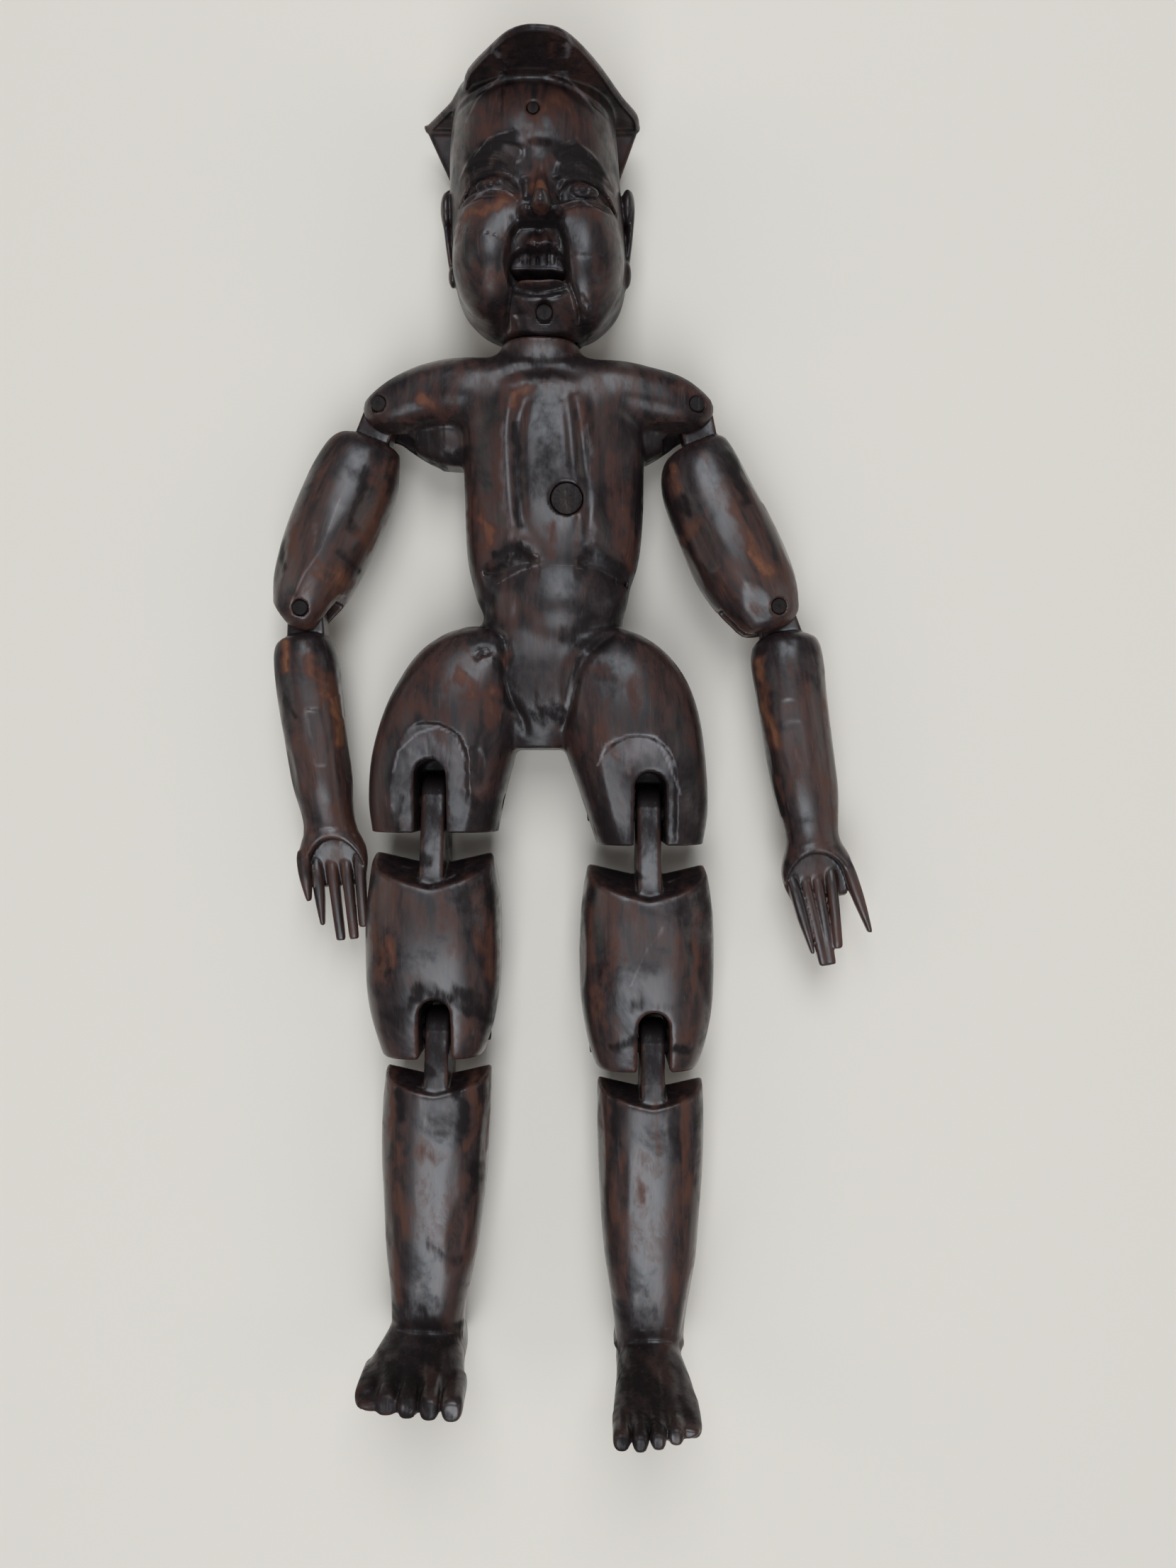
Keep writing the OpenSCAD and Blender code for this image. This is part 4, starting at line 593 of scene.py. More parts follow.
def in_outline(x, y, points):
    """Signed distance in plan to a closed outline, below 0 inside."""
    d, _ = from_line(x, y, list(points) + [points[0]])
    inside = np.zeros(np.broadcast(x, y).shape, bool)
    for (ax, ay), (bx, by) in zip(points, list(points[1:]) + [points[0]]):
        if ay != by:
            crosses = (ay > y) != (by > y)
            inside ^= crosses & (x < (bx - ax) * (y - ay) / (by - ay) + ax)
    return np.where(inside, -d, d)


def tongue(place, radius, root, root_y, thickness, plane="xy"):
    """A flat tongue, round about its peg; root is its two edges at its root, root_y below the peg."""
    def form(x, y, z):
        if plane == "xy":
            u, v, w = x - place[0], y - place[1], z - place[2]
        else:
            u, v, w = z - place[2], y - place[1], x - place[0]
        flat = in_outline(u, v, [(-radius, 0), (radius, 0), (root[1], -root_y), (root[0], -root_y)])
        outline = np.minimum(flat, np.hypot(u, v) - radius)
        return smooth_low(outline * -1, thickness / 2 - np.abs(w), 1.0) * -1
    return form


class Billet:
    """A block of wood as a grid of depths in millimetres: below 0 is wood, above 0 is air."""

    def __init__(self, node, step, margin=1.5, seed=1):
        low, high = (np.array(corner) * 1000 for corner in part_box(node))
        self.step = step
        self.node = node
        self.axes = [np.arange(a - margin, b + margin, step, dtype=np.float32) for a, b in zip(low, high)]
        self.depth = np.full([len(axis) for axis in self.axes], AIR, np.float32)
        self.chance = np.random.default_rng(seed)

    def part(self, low=None, high=None):
        """The cells within a box, and their places as arrays that broadcast."""
        low = low or (-FAR,) * 3
        high = high or (FAR,) * 3
        cut = tuple(slice(*np.searchsorted(axis, (a, b))) for axis, a, b in zip(self.axes, low, high))
        x, y, z = (axis[c] for axis, c in zip(self.axes, cut))
        return cut, x[:, None, None], y[None, :, None], z[None, None, :]

    def plan(self, points, margin, above, below=FAR):
        """The cells around points in plan, from one height to another, with their X and Y places."""
        x0, y0 = np.min(points, axis=0) - margin
        x1, y1 = np.max(points, axis=0) + margin
        cut, x, y, _ = self.part((x0, y0, above), (x1, y1, below))
        return cut, x[:, :, 0], y[:, :, 0]

    def join(self, form, blend=0.0, low=None, high=None):
        """Joins a form to the wood, within a box if one is given."""
        cut, x, y, z = self.part(low, high)
        self.depth[cut] = smooth_low(self.depth[cut], form(x, y, z), blend)

    def take(self, form, blend=0.0, low=None, high=None):
        """Takes a form from the wood, within a box if one is given."""
        cut, x, y, z = self.part(low, high)
        self.depth[cut] = -smooth_low(-self.depth[cut], form(x, y, z), blend)

    def gouge(self, points, width, depth, above=AXIS_Z, below=FAR, taper=0.0, sharp=False):
        """Presses a groove along a line in plan; a depth below 0 raises a ridge. taper fades its ends."""
        cut, x, y = self.plan(points, width, above, below)
        d, along = from_line(x, y, points)
        r = np.clip(d / width, 0, 1)
        press = depth * ((1 - r) if sharp else (0.5 + 0.5 * np.cos(np.pi * r)))
        if taper > 0:
            press = press * np.clip(np.minimum(along, 1 - along) / taper, 0, 1) ** 0.7
        self.depth[cut] += press[:, :, None].astype(np.float32)

    def panel(self, points, edge, depth, above=AXIS_Z):
        """Sinks the area inside an outline in plan, with sloping edges; a depth below 0 raises it."""
        cut, x, y = self.plan(points, edge, above)
        t = np.clip(0.5 - in_outline(x, y, points) / (2 * edge), 0, 1)
        self.depth[cut] += (depth * t * t * (3 - 2 * t))[:, :, None].astype(np.float32)

    def ledge(self, edge, base, depth, reach):
        """A face that drops from an edge to its base line, the wood rising again softly beyond the base."""
        outline = list(edge) + list(base)[::-1]
        cut, x, y = self.plan(outline, reach, AXIS_Z)
        fall, _ = from_line(x, y, edge)
        rise, along = from_line(x, y, base)
        px, py = np.array(base).T
        beyond = (y < np.interp(x, px, py)) & (x > px[0]) & (x < px[-1])
        ends = np.clip(np.minimum(along, 1 - along) / 0.2, 0, 1)
        slope = np.where(beyond, np.clip(1 - rise / reach, 0, 1) ** 1.5 * ends, 0)
        press = np.where(in_outline(x, y, outline) < 0, fall / (fall + rise + 1e-6), slope) * depth
        self.depth[cut] += press[:, :, None].astype(np.float32)

    def unevenness(self, size, amount):
        """Makes the surface uneven, as a knife and years of handling leave it."""
        x, y, z = (axis / size for axis in self.axes)
        for _ in range(5):
            turn = self.chance.normal(size=3)
            turn = turn / np.linalg.norm(turn) * self.chance.uniform(0.7, 1.6)
            start = self.chance.uniform(0, 2 * math.pi)
            across = np.sin(turn[0] * x + start)[:, None, None]
            along = np.cos(turn[1] * y + start * 2)[None, :, None]
            self.depth += (amount * 0.4) * (across * along) * np.sin(turn[2] * z + start * 3)[None, None, :]

    def shave(self, count, depth, reach, low=None, high=None):
        """Slices shallow flats off the surface, as a knife leaves them."""
        cut, x, y, z = self.part(low, high)
        cells = np.argwhere(np.abs(self.depth[cut]) < self.step * 0.6)
        start = np.array([c.indices(len(axis))[0] for c, axis in zip(cut, self.axes)])
        for cell in self.chance.permutation(cells)[:count] + start:
            place = np.array([axis[i] for axis, i in zip(self.axes, cell)], float)
            out = self.slope(place[None])[0]
            out /= max(np.linalg.norm(out), 1e-3)
            bite = depth * self.chance.uniform(0.4, 1.3)
            plane, patch = half_space(place - out * bite, -out), ball(place, (reach,) * 3)

            def flat(x, y, z):
                """The cut of one stroke, shallower towards the edge of its patch."""
                near = patch(x, y, z)
                return np.maximum(plane(x, y, z) + bite * 1.3 * (1 + near / reach) ** 2, near)
            self.take(flat, 0.3, tuple(place - reach), tuple(place + reach))

    def soften(self):
        """Rounds every edge a little."""
        for axis in range(3):
            d = np.moveaxis(self.depth, axis, 0)
            d[1:-1] = d[1:-1] * 0.5 + (d[:-2] + d[2:]) * 0.25

    def blurred(self, reach):
        """The clipped depths, averaged over about the given reach, to tell edges from hollows."""
        d = np.clip(self.depth, -reach, reach)
        cells = max(1, int(round(reach / self.step / 2)))
        for _ in range(2):
            for axis in range(3):
                pad = [(0, 0)] * 3
                pad[axis] = (cells + 1, cells)
                total = np.cumsum(np.pad(d, pad, mode="edge"), axis=axis, dtype=np.float64)
                size = total.shape[axis]
                upper = np.take(total, range(2 * cells + 1, size), axis=axis)
                lower = np.take(total, range(0, size - 2 * cells - 1), axis=axis)
                d = ((upper - lower) / (2 * cells + 1)).astype(np.float32)
        return d

    def at(self, grid, places):
        """The value of a grid at places, read between its cells."""
        p = (places - np.array([axis[0] for axis in self.axes])) / self.step
        shape = np.array(grid.shape)
        i = np.clip(np.floor(p).astype(int), 0, shape - 2)
        t = np.clip(p - i, 0, 1)
        value = np.zeros(len(places))
        for corner in np.ndindex(2, 2, 2):
            weight = np.prod(np.where(corner, t, 1 - t), axis=1)
            value += weight * grid[i[:, 0] + corner[0], i[:, 1] + corner[1], i[:, 2] + corner[2]]
        return value

    def slope(self, places):
        """The outward direction of the depths at places."""
        h = self.step * 0.5
        rises = [self.at(self.depth, places + way * h) - self.at(self.depth, places - way * h)
                 for way in np.eye(3)]
        return np.stack(rises, axis=1) / (2 * h)

    def skin(self):
        """Corner places and four-cornered faces of the surface, one corner in each cell that it crosses."""
        d = self.depth
        wood = d < 0
        size = [n - 1 for n in d.shape]
        count = np.zeros(size, np.int8)
        for i, j, k in np.ndindex(2, 2, 2):
            count += wood[i:i + size[0], j:j + size[1], k:k + size[2]]
        crossed = (count > 0) & (count < 8)
        cells = np.argwhere(crossed)
        number = np.full(size, -1, np.int32)
        number[crossed] = np.arange(len(cells))
        total = np.zeros((len(cells), 3))
        hits = np.zeros(len(cells))
        for corner in np.ndindex(2, 2, 2):
            for axis in range(3):
                if corner[axis]:
                    continue
                other = list(corner)
                other[axis] = 1
                da = d[tuple((cells + corner).T)].astype(float)
                db = d[tuple((cells + other).T)].astype(float)
                hit = (da < 0) != (db < 0)
                t = np.where(hit, da / np.where(hit, da - db, 1), 0)
                point = np.array(corner, float) + t[:, None] * np.eye(3)[axis]
                total += point * hit[:, None]
                hits += hit
        low = np.array([axis[0] for axis in self.axes])
        places = low + self.step * (cells + total / hits[:, None])
        faces = []
        for axis in range(3):
            one, two = (axis + 1) % 3, (axis + 2) % 3
            near = np.take(wood, range(0, d.shape[axis] - 1), axis=axis)
            far = np.take(wood, range(1, d.shape[axis]), axis=axis)
            for leaving in (True, False):
                edge = np.argwhere((near & ~far) if leaving else (~near & far))
                keep = (edge[:, one] > 0) & (edge[:, two] > 0)
                edge = edge[keep]
                step_one, step_two = np.eye(3, dtype=int)[one], np.eye(3, dtype=int)[two]
                ring = [edge, edge - step_one, edge - step_one - step_two, edge - step_two]
                if not leaving:
                    ring = ring[::-1]
                faces.append(np.stack([number[tuple(cell.T)] for cell in ring], axis=1))
        return places, np.concatenate(faces)

    def smoothed_skin(self):
        """The skin with its corners evened out along the surface and drawn back onto it."""
        places, faces = self.skin()
        edges = np.concatenate([faces[:, [0, 1]], faces[:, [1, 2]], faces[:, [2, 3]], faces[:, [3, 0]]])
        degree = np.bincount(edges.ravel(), minlength=len(places))[:, None]
        for _ in range(3):
            total = np.zeros_like(places)
            for a, b in ((0, 1), (1, 0)):
                for k in range(3):
                    total[:, k] += np.bincount(edges[:, a], places[edges[:, b], k], len(places))
            places = places * 0.4 + total / degree * 0.6
            slope = self.slope(places)
            steep = np.maximum(np.sum(slope * slope, axis=1), 0.2)
            places -= slope * (np.clip(self.at(self.depth, places), -0.5, 0.5) / steep)[:, None]
        return places, faces

    def mesh(self, grain_place, grain_turn=0.0, wear_reach=3.0, edge_wear=1.0, extra=None):
        """The finished piece as an object; its points keep its wear, hollows, grain and painted marks."""
        places, faces = self.smoothed_skin()
        bulge = self.at(self.blurred(wear_reach), places) / wear_reach
        data = bpy.data.meshes.new(self.node + "_carved")
        data.vertices.add(len(places))
        data.vertices.foreach_set("co", (places / 1000).astype(np.float32).ravel())
        data.loops.add(faces.size)
        data.loops.foreach_set("vertex_index", faces.astype(np.int32).ravel())
        data.polygons.add(len(faces))
        data.polygons.foreach_set("loop_start", np.arange(0, faces.size, 4, dtype=np.int32))
        data.polygons.foreach_set("use_smooth", np.ones(len(faces), bool))
        data.update(calc_edges=True)
        data.validate()
        c, s = math.cos(math.radians(grain_turn)), math.sin(math.radians(grain_turn))
        u, v = places[:, 0] - grain_place[0], places[:, 1] - grain_place[1]
        grain = np.stack([c * u + s * v, c * v - s * u, places[:, 2]], axis=1) / 1000
        marks = {name: painted(places, strokes) for name, strokes in MARKS[self.node].items()}
        if extra:
            extra(marks, *places.T)
        marks["edge"] = np.clip(bulge * 4, 0, 1) * edge_wear
        marks["hollow"] = np.clip(-bulge * 4, 0, 1)
        keep_marks(data, marks, grain)
        return shown(self.node + "_carved", data)


def keep_marks(data, marks, grain):
    """Keeps the strengths of each mark, and the places in the grain, on a mesh's points."""
    for name, value in marks.items():
        data.attributes.new(name, "FLOAT", "POINT").data.foreach_set("value", value.astype(np.float32))
    places = data.attributes.new("grain", "FLOAT_VECTOR", "POINT").data
    places.foreach_set("vector", grain.astype(np.float32).ravel())


def shown(name, data):
    """An object of the scene from its data."""
    thing = bpy.data.objects.new(name, data)
    bpy.context.collection.objects.link(thing)
    return thing


def painted(places, strokes):
    """How strongly soft strokes in plan mark each place: a half width, a strength and a line each."""
    total = np.zeros(len(places))
    x, y = places[:, 0], places[:, 1]
    stray_x = np.sin(y * 0.42 + 1) + 0.6 * np.sin(y * 1.1 + x * 0.5)
    stray_y = np.sin(x * 0.37 + 2) + 0.6 * np.sin(x * 0.9 + y * 0.6 + 4)
    for width, strength, *line in strokes:
        stray = max(width - 1.2, 0) * 0.4
        d, _ = from_line(x + stray_x * stray, y + stray_y * stray, line)
        total = np.maximum(total, strength * np.exp(-(d / width) ** 2))
    return total * np.clip((places[:, 2] - AXIS_Z) / 3, 0, 1)


def rest_flat(wood):
    """Planes the back off where the piece lies on its rest surface."""
    wood.take(lambda x, y, z: z + 0 * x + 0 * y)


# The pieces

def leg_slot(wood, place):
    """A slot for a leg tongue: open below, in front and behind, its round top higher in front."""
    half = LEG_SLOT_T / 2

    def opening(top):
        def form(x, y, z):
            u, v = x - place[0], y - place[1] - top + half
            return np.minimum(np.hypot(u, v) - half, np.maximum(np.abs(u) - half, v))
        return form
    wood.take(both(opening(LEG_SLOT_TOP), lambda x, y, z: place[2] - z), 0.8)
    wood.take(opening(LEG_SLOT_BACK), 0.8)
    wood.take(both(peg_bore(place, LEG_SLOT_BACK, "x"), lambda x, y, z: np.abs(x - place[0]) - half), 0.5)


def arm_slot(form):
    """The part of a form that lies within the thickness of an arm's or the neck's slot."""
    return both(form, lambda x, y, z: np.abs(z - AXIS_Z) - ARM_SLOT_T / 2)


def slot_painted_shade(found, x, y, z, place):
    """The walls of a leg slot, darkened and dulled deep inside with painted shade."""
    deepest = place[1] + LEG_TONGUE_R + PEG_R * 2.5
    inside = (np.abs(x - place[0]) < LEG_SLOT_T / 2 + 0.2) & (y < deepest) & (z < AXIS_Z + 12)
    found["soot"][inside] = 1
    found["pale"][inside] = 0


def darkened_tongue(found, x, y, place, ridge):
    """A leg's tongue, darker and dull along its length, and darkest at its round end deep in the slot,
    where the darkness is painted shade.
    """
    bar = (np.abs(x - place[0]) < LEG_TONGUE_T / 2 + 0.8) & (y > place[1] - ridge)
    found["soot"][bar] = np.maximum(found["soot"][bar], np.clip(y[bar] - place[1] - 2, 0.5, 1))
    found["pale"][bar] = 0


def carve_torso():
    """Chest, neck, shoulder stubs and thigh stubs from one billet, with a seat for each joint."""
    wood = Billet("torso", 1.0, seed=3)
    trunk = carved(smooth_rows(TRUNK, TORSO_L, CHEST_W, CHEST_D), 2.5)
    wood.join(placed(trunk, (0, -CROTCH_DROP, AXIS_Z)))
    girdle, armpit = (carved(smooth_rows(rows, SHOULDER_X + SHOULDER_END, SHOULDER_H, CHEST_D), box)
                      for rows, box in ((GIRDLE, 2.4), (ARMPIT, 2.6)))

    def across(form):
        """A form along Y laid along X, through both shoulders."""
        return lambda x, y, z: form(y - SHOULDER_Y, x + 0 * y, z - AXIS_Z)
    low, high = (-80, 10, -5), (80, 90, 60)
    wood.join(across(girdle), 5, low, high)
    for k, edge, wall in ((-1, (-50, 38.6, 38), -32.5), (1, (50, 37.0, 36), 42.5)):
        under = both(half_space(edge, (0, 0.87, -0.49)), lambda x, y, z: k * (wall - x))
        wood.take(under, 1.2, low, high)
    wood.join(across(armpit), 2.0, low, high)
    for side, k in SIDES.items():
        drop = HIP_DROP + PEG_R * 4 + LEG_STEP[side]
        stub = carved(smooth_rows(STUB[side], STUB_L + LEG_STEP[side], STUB_W, STUB_D), 2.6)
        wood.join(placed(stub, (k * LEG_X, -drop, AXIS_Z), 0, k), 2.5, (-80, -140, -5), (80, -30, 60))
    wood.unevenness(9, 0.16)
    torso_relief(wood)
    wood.join(tongue((*NECK_PEG, AXIS_Z), NECK_TONGUE_R, (-10.2, 10.2), 12, TONGUE_T), 0,
              (-15, 60, 10), (20, 90, 40))
    for side, k in SIDES.items():
        shoulder_seat(wood, side, k)
        hip_seat(wood, side, k)
    wood.take(peg_bore(NECK_PEG, PEG_HOLE_R), 0, (-5, 70, 0), (15, 90, 50))
    plug_bore(wood, "belly_plug")
    rest_flat(wood)

    def marks(found, x, y, z):
        """The leg slots, and the sides of the chest under the shoulders, are darkened and dulled with
        painted shade.
        """
        for side in SIDES:
            slot_painted_shade(found, x, y, z, HIP[side])
        # Painted shade on the sides of the chest under the shoulders.
        shaded_flanks = (y > 6) & (y < 38) & (np.abs(x - 3) > 40)
        found["soot"][shaded_flanks] = np.maximum(found["soot"][shaded_flanks], 0.7)
    return wood.mesh((CHEST_LEAN, 0), edge_wear=0.5, extra=marks)


def shoulder_seat(wood, side, k):
    """Room for the top of an upper arm, a slot for its tongue and a hole for its peg."""
    peg_x, peg_y = SHOULDER[side]
    c, s = math.cos(math.radians(ARM_ANGLE[side])), math.sin(math.radians(ARM_ANGLE[side]))
    top, beside = ARM_START - 1.0, 12.8
    room = both(half_space((peg_x + k * s * top, peg_y - c * top, 0), (-k * s, c, 0)),
                half_space((peg_x - k * c * beside, peg_y - s * beside, 0), (-k * c, -s, 0)))
    low_x, high_x = sorted((k * 30, k * 80))
    wood.take(room, 0.6, (low_x, -30, -5), (high_x, 60, 60))
    slot_r = ARM_TONGUE_R + 2 * TONGUE_ROOM
    z0, z1 = AXIS_Z - ARM_SLOT_T / 2, AXIS_Z + ARM_SLOT_T / 2
    for inward, height in ((slot_r + 5, 0), (0, slot_r * 0.7)):
        low_x, high_x = sorted((peg_x - k * inward, peg_x + k * 14))
        wood.take(slab((low_x, peg_y - SHOULDER_H, z0), (high_x, peg_y + height, z1)), 0.4)
    wood.take(arm_slot(peg_bore(SHOULDER[side], slot_r)))
    wood.take(peg_bore(SHOULDER[side], PEG_HOLE_R))


def hip_seat(wood, side, k):
    """A sunk flat with a round top, a slot for the leg's tongue and a hole for its peg."""
    hip_x, hip_y = HIP[side]
    flat_w, flat_top = STUB_W * 0.27, hip_y + STUB_L * 0.375
    flat_x = hip_x - (5.2 if k > 0 else 0)
    slope = math.radians(8.5)
    floor = half_space((hip_x, flat_top, AXIS_Z + STUB_D * 0.495), (0, math.sin(slope), -math.cos(slope)))

    def arch(x, y, z):
        u, v = x - flat_x, y - flat_top + flat_w
        return np.minimum(np.hypot(u, v) - flat_w, np.maximum(np.abs(u) - flat_w, v))
    wood.take(both(arch, floor), 0.3, (hip_x - 30, -140, AXIS_Z), (hip_x + 30, -60, 60))
    hip = (hip_x, hip_y, AXIS_Z)
    leg_slot(wood, hip)
    wood.take(peg_bore(hip, PEG_HOLE_R, "x"), 0, (hip_x - 40, -140, 0), (hip_x + 40, -90, 50))


def plug_bore(wood, plug):
    """A bore for a plug, with the wood around it dressed to the height of the plug's end."""
    low, high = (np.array(corner) * 1000 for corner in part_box(plug))
    middle = (low + high) / 2
    radius, around = (high - low)[0] / 2, 20
    ring = ellipse(middle, radius, radius, 0, 6.0, 20)
    cut, x, y, z = wood.part((middle[0] - around, middle[1] - around, high[2] - 3),
                             (middle[0] + around, middle[1] + around, FAR))
    near = np.clip(-in_outline(x[:, :, 0], y[:, :, 0], ring) / 7.0 + 1, 0, 1)[:, :, None]
    near = near * near * (3 - 2 * near)
    wood.depth[cut] = wood.depth[cut] * (1 - near) + np.maximum(wood.depth[cut], z - high[2] + 0.1) * near
    wood.take(both(peg_bore(middle, radius + TONGUE_ROOM), lambda x, y, z: low[2] - z))


def torso_relief(wood):
    """The strip down the chest, rib ledges, belly, groin creases, the knot and the neck's foot."""
    # Two soft crests and the grooves inside them: a line, a half width, a depth and how far its ends fade
    for line, width, depth, taper in (
            ([(-9.0, -11.0), (-10.0, 1.2), (-10.8, 12.1), (-11.6, 23.0), (-11.7, 33.9), (-10.6, 41.5),
              (-7.5, 47.5)], 8.0, -1.7, 0.1),
            ([(13.0, 46.0), (15.0, 41.0), (16.4, 33.6), (17.8, 22.7), (19.2, 11.9), (20.6, 3.8),
              (21.0, -4.3), (20.4, -12.4)], 7.5, -1.7, 0.1),
            ([(-5.6, -9.0), (-6.8, 3.0), (-7.6, 14.0), (-8.2, 24.0), (-7.8, 34.0), (-5.4, 43.0),
             (0, 49.5)],
             4.4, 1.5, 0.2),
            ([(8.5, 49.0), (12.0, 43.0), (13.4, 34.0), (14.4, 24.0), (15.6, 14.0), (17.0, 2.0),
              (17.2, -11.0)], 4.0, 1.4, 0.2)):
        wood.gouge(bend(line), width, depth, taper=taper)

    # The strip between them, and the hollow at its top
    strip = bend([(-4.3, -3.0), (-4.3, 16), (-4.2, 33.5), (-3.2, 43.0), (0, 49.0), (4.8, 51.0), (9.0, 49.0),
                  (10.7, 41.4), (11.7, 30.7), (12.2, 14.0), (13.0, -3.0)])
    wood.panel(strip + [(12.6, -14), (11.8, -26), (3.8, -26), (2.4, -12)], 1.6, -0.2)
    wood.panel(bend([(-3, 43), (0, 47.4), (4.6, 49.2), (8.6, 47.0), (10, 43), (4, 41.6)]), 0.9, 0.3)

    # Rib ledges
    wood.gouge([(-9.4, -10.0), (-6.4, -12.4), (-2.4, -15.4), (2.4, -20.0)], 2.0, -0.9, taper=0.2)
    wood.ledge([(-21.5, -19.9), (-15.5, -16.4), (-8.2, -11.5), (-3.3, -14.2), (0.8, -17.5)],
               [(-21.5, -22.4), (-10.1, -20.2), (0.8, -18.0)], 3.4, 10)
    wood.ledge([(14.9, -17.5), (19.3, -13.9), (22.0, -12.8), (28.0, -16.4), (34.5, -22.9)],
               [(14.9, -18.3), (23.9, -20.8), (30.2, -23.4), (35.1, -26.4)], 3.2, 9)

    # Belly
    wood.join(ball((9, -33, 28), (25, 17, 19.0)), 5)
    wood.gouge([(-19, -28), (-20, -34), (-18.5, -42)], 4.0, 0.6, 15, taper=0.3)

    # Groin creases, two across the hips and two down the thighs
    for line, width, depth, sharp, taper in (
            ([(-23.0, -41.6), (-18.0, -43.8), (-14.5, -46.2), (-11.4, -49.6)], 1.5, 1.8, True, 0.2),
            ([(31.5, -45.0), (27.5, -47.6), (23.5, -50.6), (20.0, -54.5)], 2.6, 1.9, False, 0.2),
            ([(-13.5, -47.0), (-11.6, -55.0), (-12.6, -63.5), (-9.7, -72.3), (-5.6, -79.0), (-4.2, -86)],
             2.4, 1.7, True, 0.15),
            ([(20.5, -53.5), (17.4, -58.0), (15.0, -65.5), (13.0, -75.1), (10.2, -83.0)],
             2.6, 1.7, True, 0.15)):
        wood.gouge(bend(line), width, depth, 20, sharp=sharp, taper=taper)

    # The knot on the left thigh, picked out and ringed, and a shallow cut below it
    knot = (-20.3, -54.3)
    for n in range(9):
        angle = n * 2.4
        x, y = knot[0] + 2.6 * math.cos(angle) * (n / 9), knot[1] + 1.9 * math.sin(angle) * (n / 9)
        pick = [(x, y), (x + 1.6 * math.cos(angle * 1.7), y + 1.0 * math.sin(angle * 1.7))]
        wood.gouge(pick, 0.9, 0.8, sharp=True)
    wood.gouge(ellipse(knot, 3.9, 2.9, 0.4, 5.6, 12), 0.7, 0.6, sharp=True)
    cut = [(-25.3, -90.2), (-22.1, -89.6), (-19.9, -94.2), (-19.5, -99.6), (-20.1, -105.1), (-23.3, -107.3),
           (-25.3, -100)]
    wood.panel(cut, 0.9, 0.7, 15)

    # Grooves about the neck
    wood.gouge(bend([(-17, 51.5), (-6, 56.0), (6, 57.0), (18, 53.4)]), 4.5, 0.9, taper=0.2)
    wood.gouge(bend([(-12.8, 66), (-8, 62.6), (3, 61.2), (13, 62.4), (18, 66)]), 3.0, 0.5, 20, taper=0.15)


def carve_head():
    """Head and cap from one billet, forked over the neck's tongue."""
    wood = Billet("head", 0.7, seed=5)
    for rows, box, length, width, place, blend in (
            (SKULL, 2.25, HEAD_H, HEAD_W, (0, JAW_Y, AXIS_Z), 0),
            (CROWN, 2.4, CROWN_H + PEAK_T, HEAD_W, (0, PEAK_Y + PEAK_T / 2, AXIS_Z), 1),
            (THROAT, 2.6, HEAD_H * 0.20, THROAT_W, (CHEST_LEAN * 0.3, HEAD_FOOT_Y, AXIS_Z), 3)):
        wood.join(placed(carved(smooth_rows(rows, length, width, HEAD_D), box), place), blend)
    face_relief(wood)
    cap_peak(wood)
    for side in SIDES:
        ear(wood, side)
    peg_x, peg_y = NECK_PEG
    half = THROAT_W * 0.33 + 2.1
    wood.take(slab((peg_x - half, peg_y - 24, AXIS_Z - ARM_SLOT_T / 2),
                   (peg_x + half, peg_y, AXIS_Z + ARM_SLOT_T / 2)))
    wood.take(arm_slot(peg_bore(NECK_PEG, NECK_TONGUE_R + TONGUE_ROOM)))
    wood.take(peg_bore((peg_x, peg_y + 0.4), PEG_R + SNUG_ROOM), 0, (-5, 60, 0), (15, 90, 60))
    for tilt in (-6.6, 6.6):
        c, s = math.cos(math.radians(tilt)), math.sin(math.radians(tilt))
        foot = half_space((peg_x + s * (peg_y - HEAD_FOOT_Y), HEAD_FOOT_Y, 0), (-s, c, 0))
        wood.take(foot, 0, (-40, 60, -5), (40, 80, 90))
    plug_bore(wood, "forehead_plug")
    rest_flat(wood)
    rim = [(a * PEAK_W, b * PEAK_REACH) for a, b in PEAK]

    def marks(found, x, y, z):
        """The cap's plate is darkened with painted shade and carries a pale bead and a faint painted sheen;
        the nose is worn red on its underside, with painted shadow below and in the nostrils.
        """
        plate = (y > PEAK_Y - 1.5) & (z > 62)
        bead = np.clip(1.5 - np.abs(in_outline(x, z - AXIS_Z, rim)), 0, 1)
        found["red"][plate] = 0
        # Painted shade over the cap's plate.
        found["soot"][plate] = 0.3
        # A pale rim along the bead, and a faint painted sheen over the whole plate.
        found["pale"][plate] = bead[plate] * 0.6 + 0.14
        across, tip_z = np.abs(x - NOSE_X), 61
        under = (across < 9) & (y > 104.6) & (y < 107.2)
        nostril = np.clip(1.6 - np.hypot(across - 3.3, (z - 62.5) * 0.8) / 1.6, 0, 1)
        # Painted shadow on the lower part of the nose's underside, and painted shade in the nostrils.
        found["soot"][under] = np.maximum(np.clip((tip_z - z[under]) / 2, 0, 1), nostril[under])
        found["red"][under] = np.clip((z[under] - tip_z) / 4, 0, 0.75) * (1 - nostril[under])
    return wood.mesh((0, JAW_Y), wear_reach=2.4, edge_wear=0.3, extra=marks)


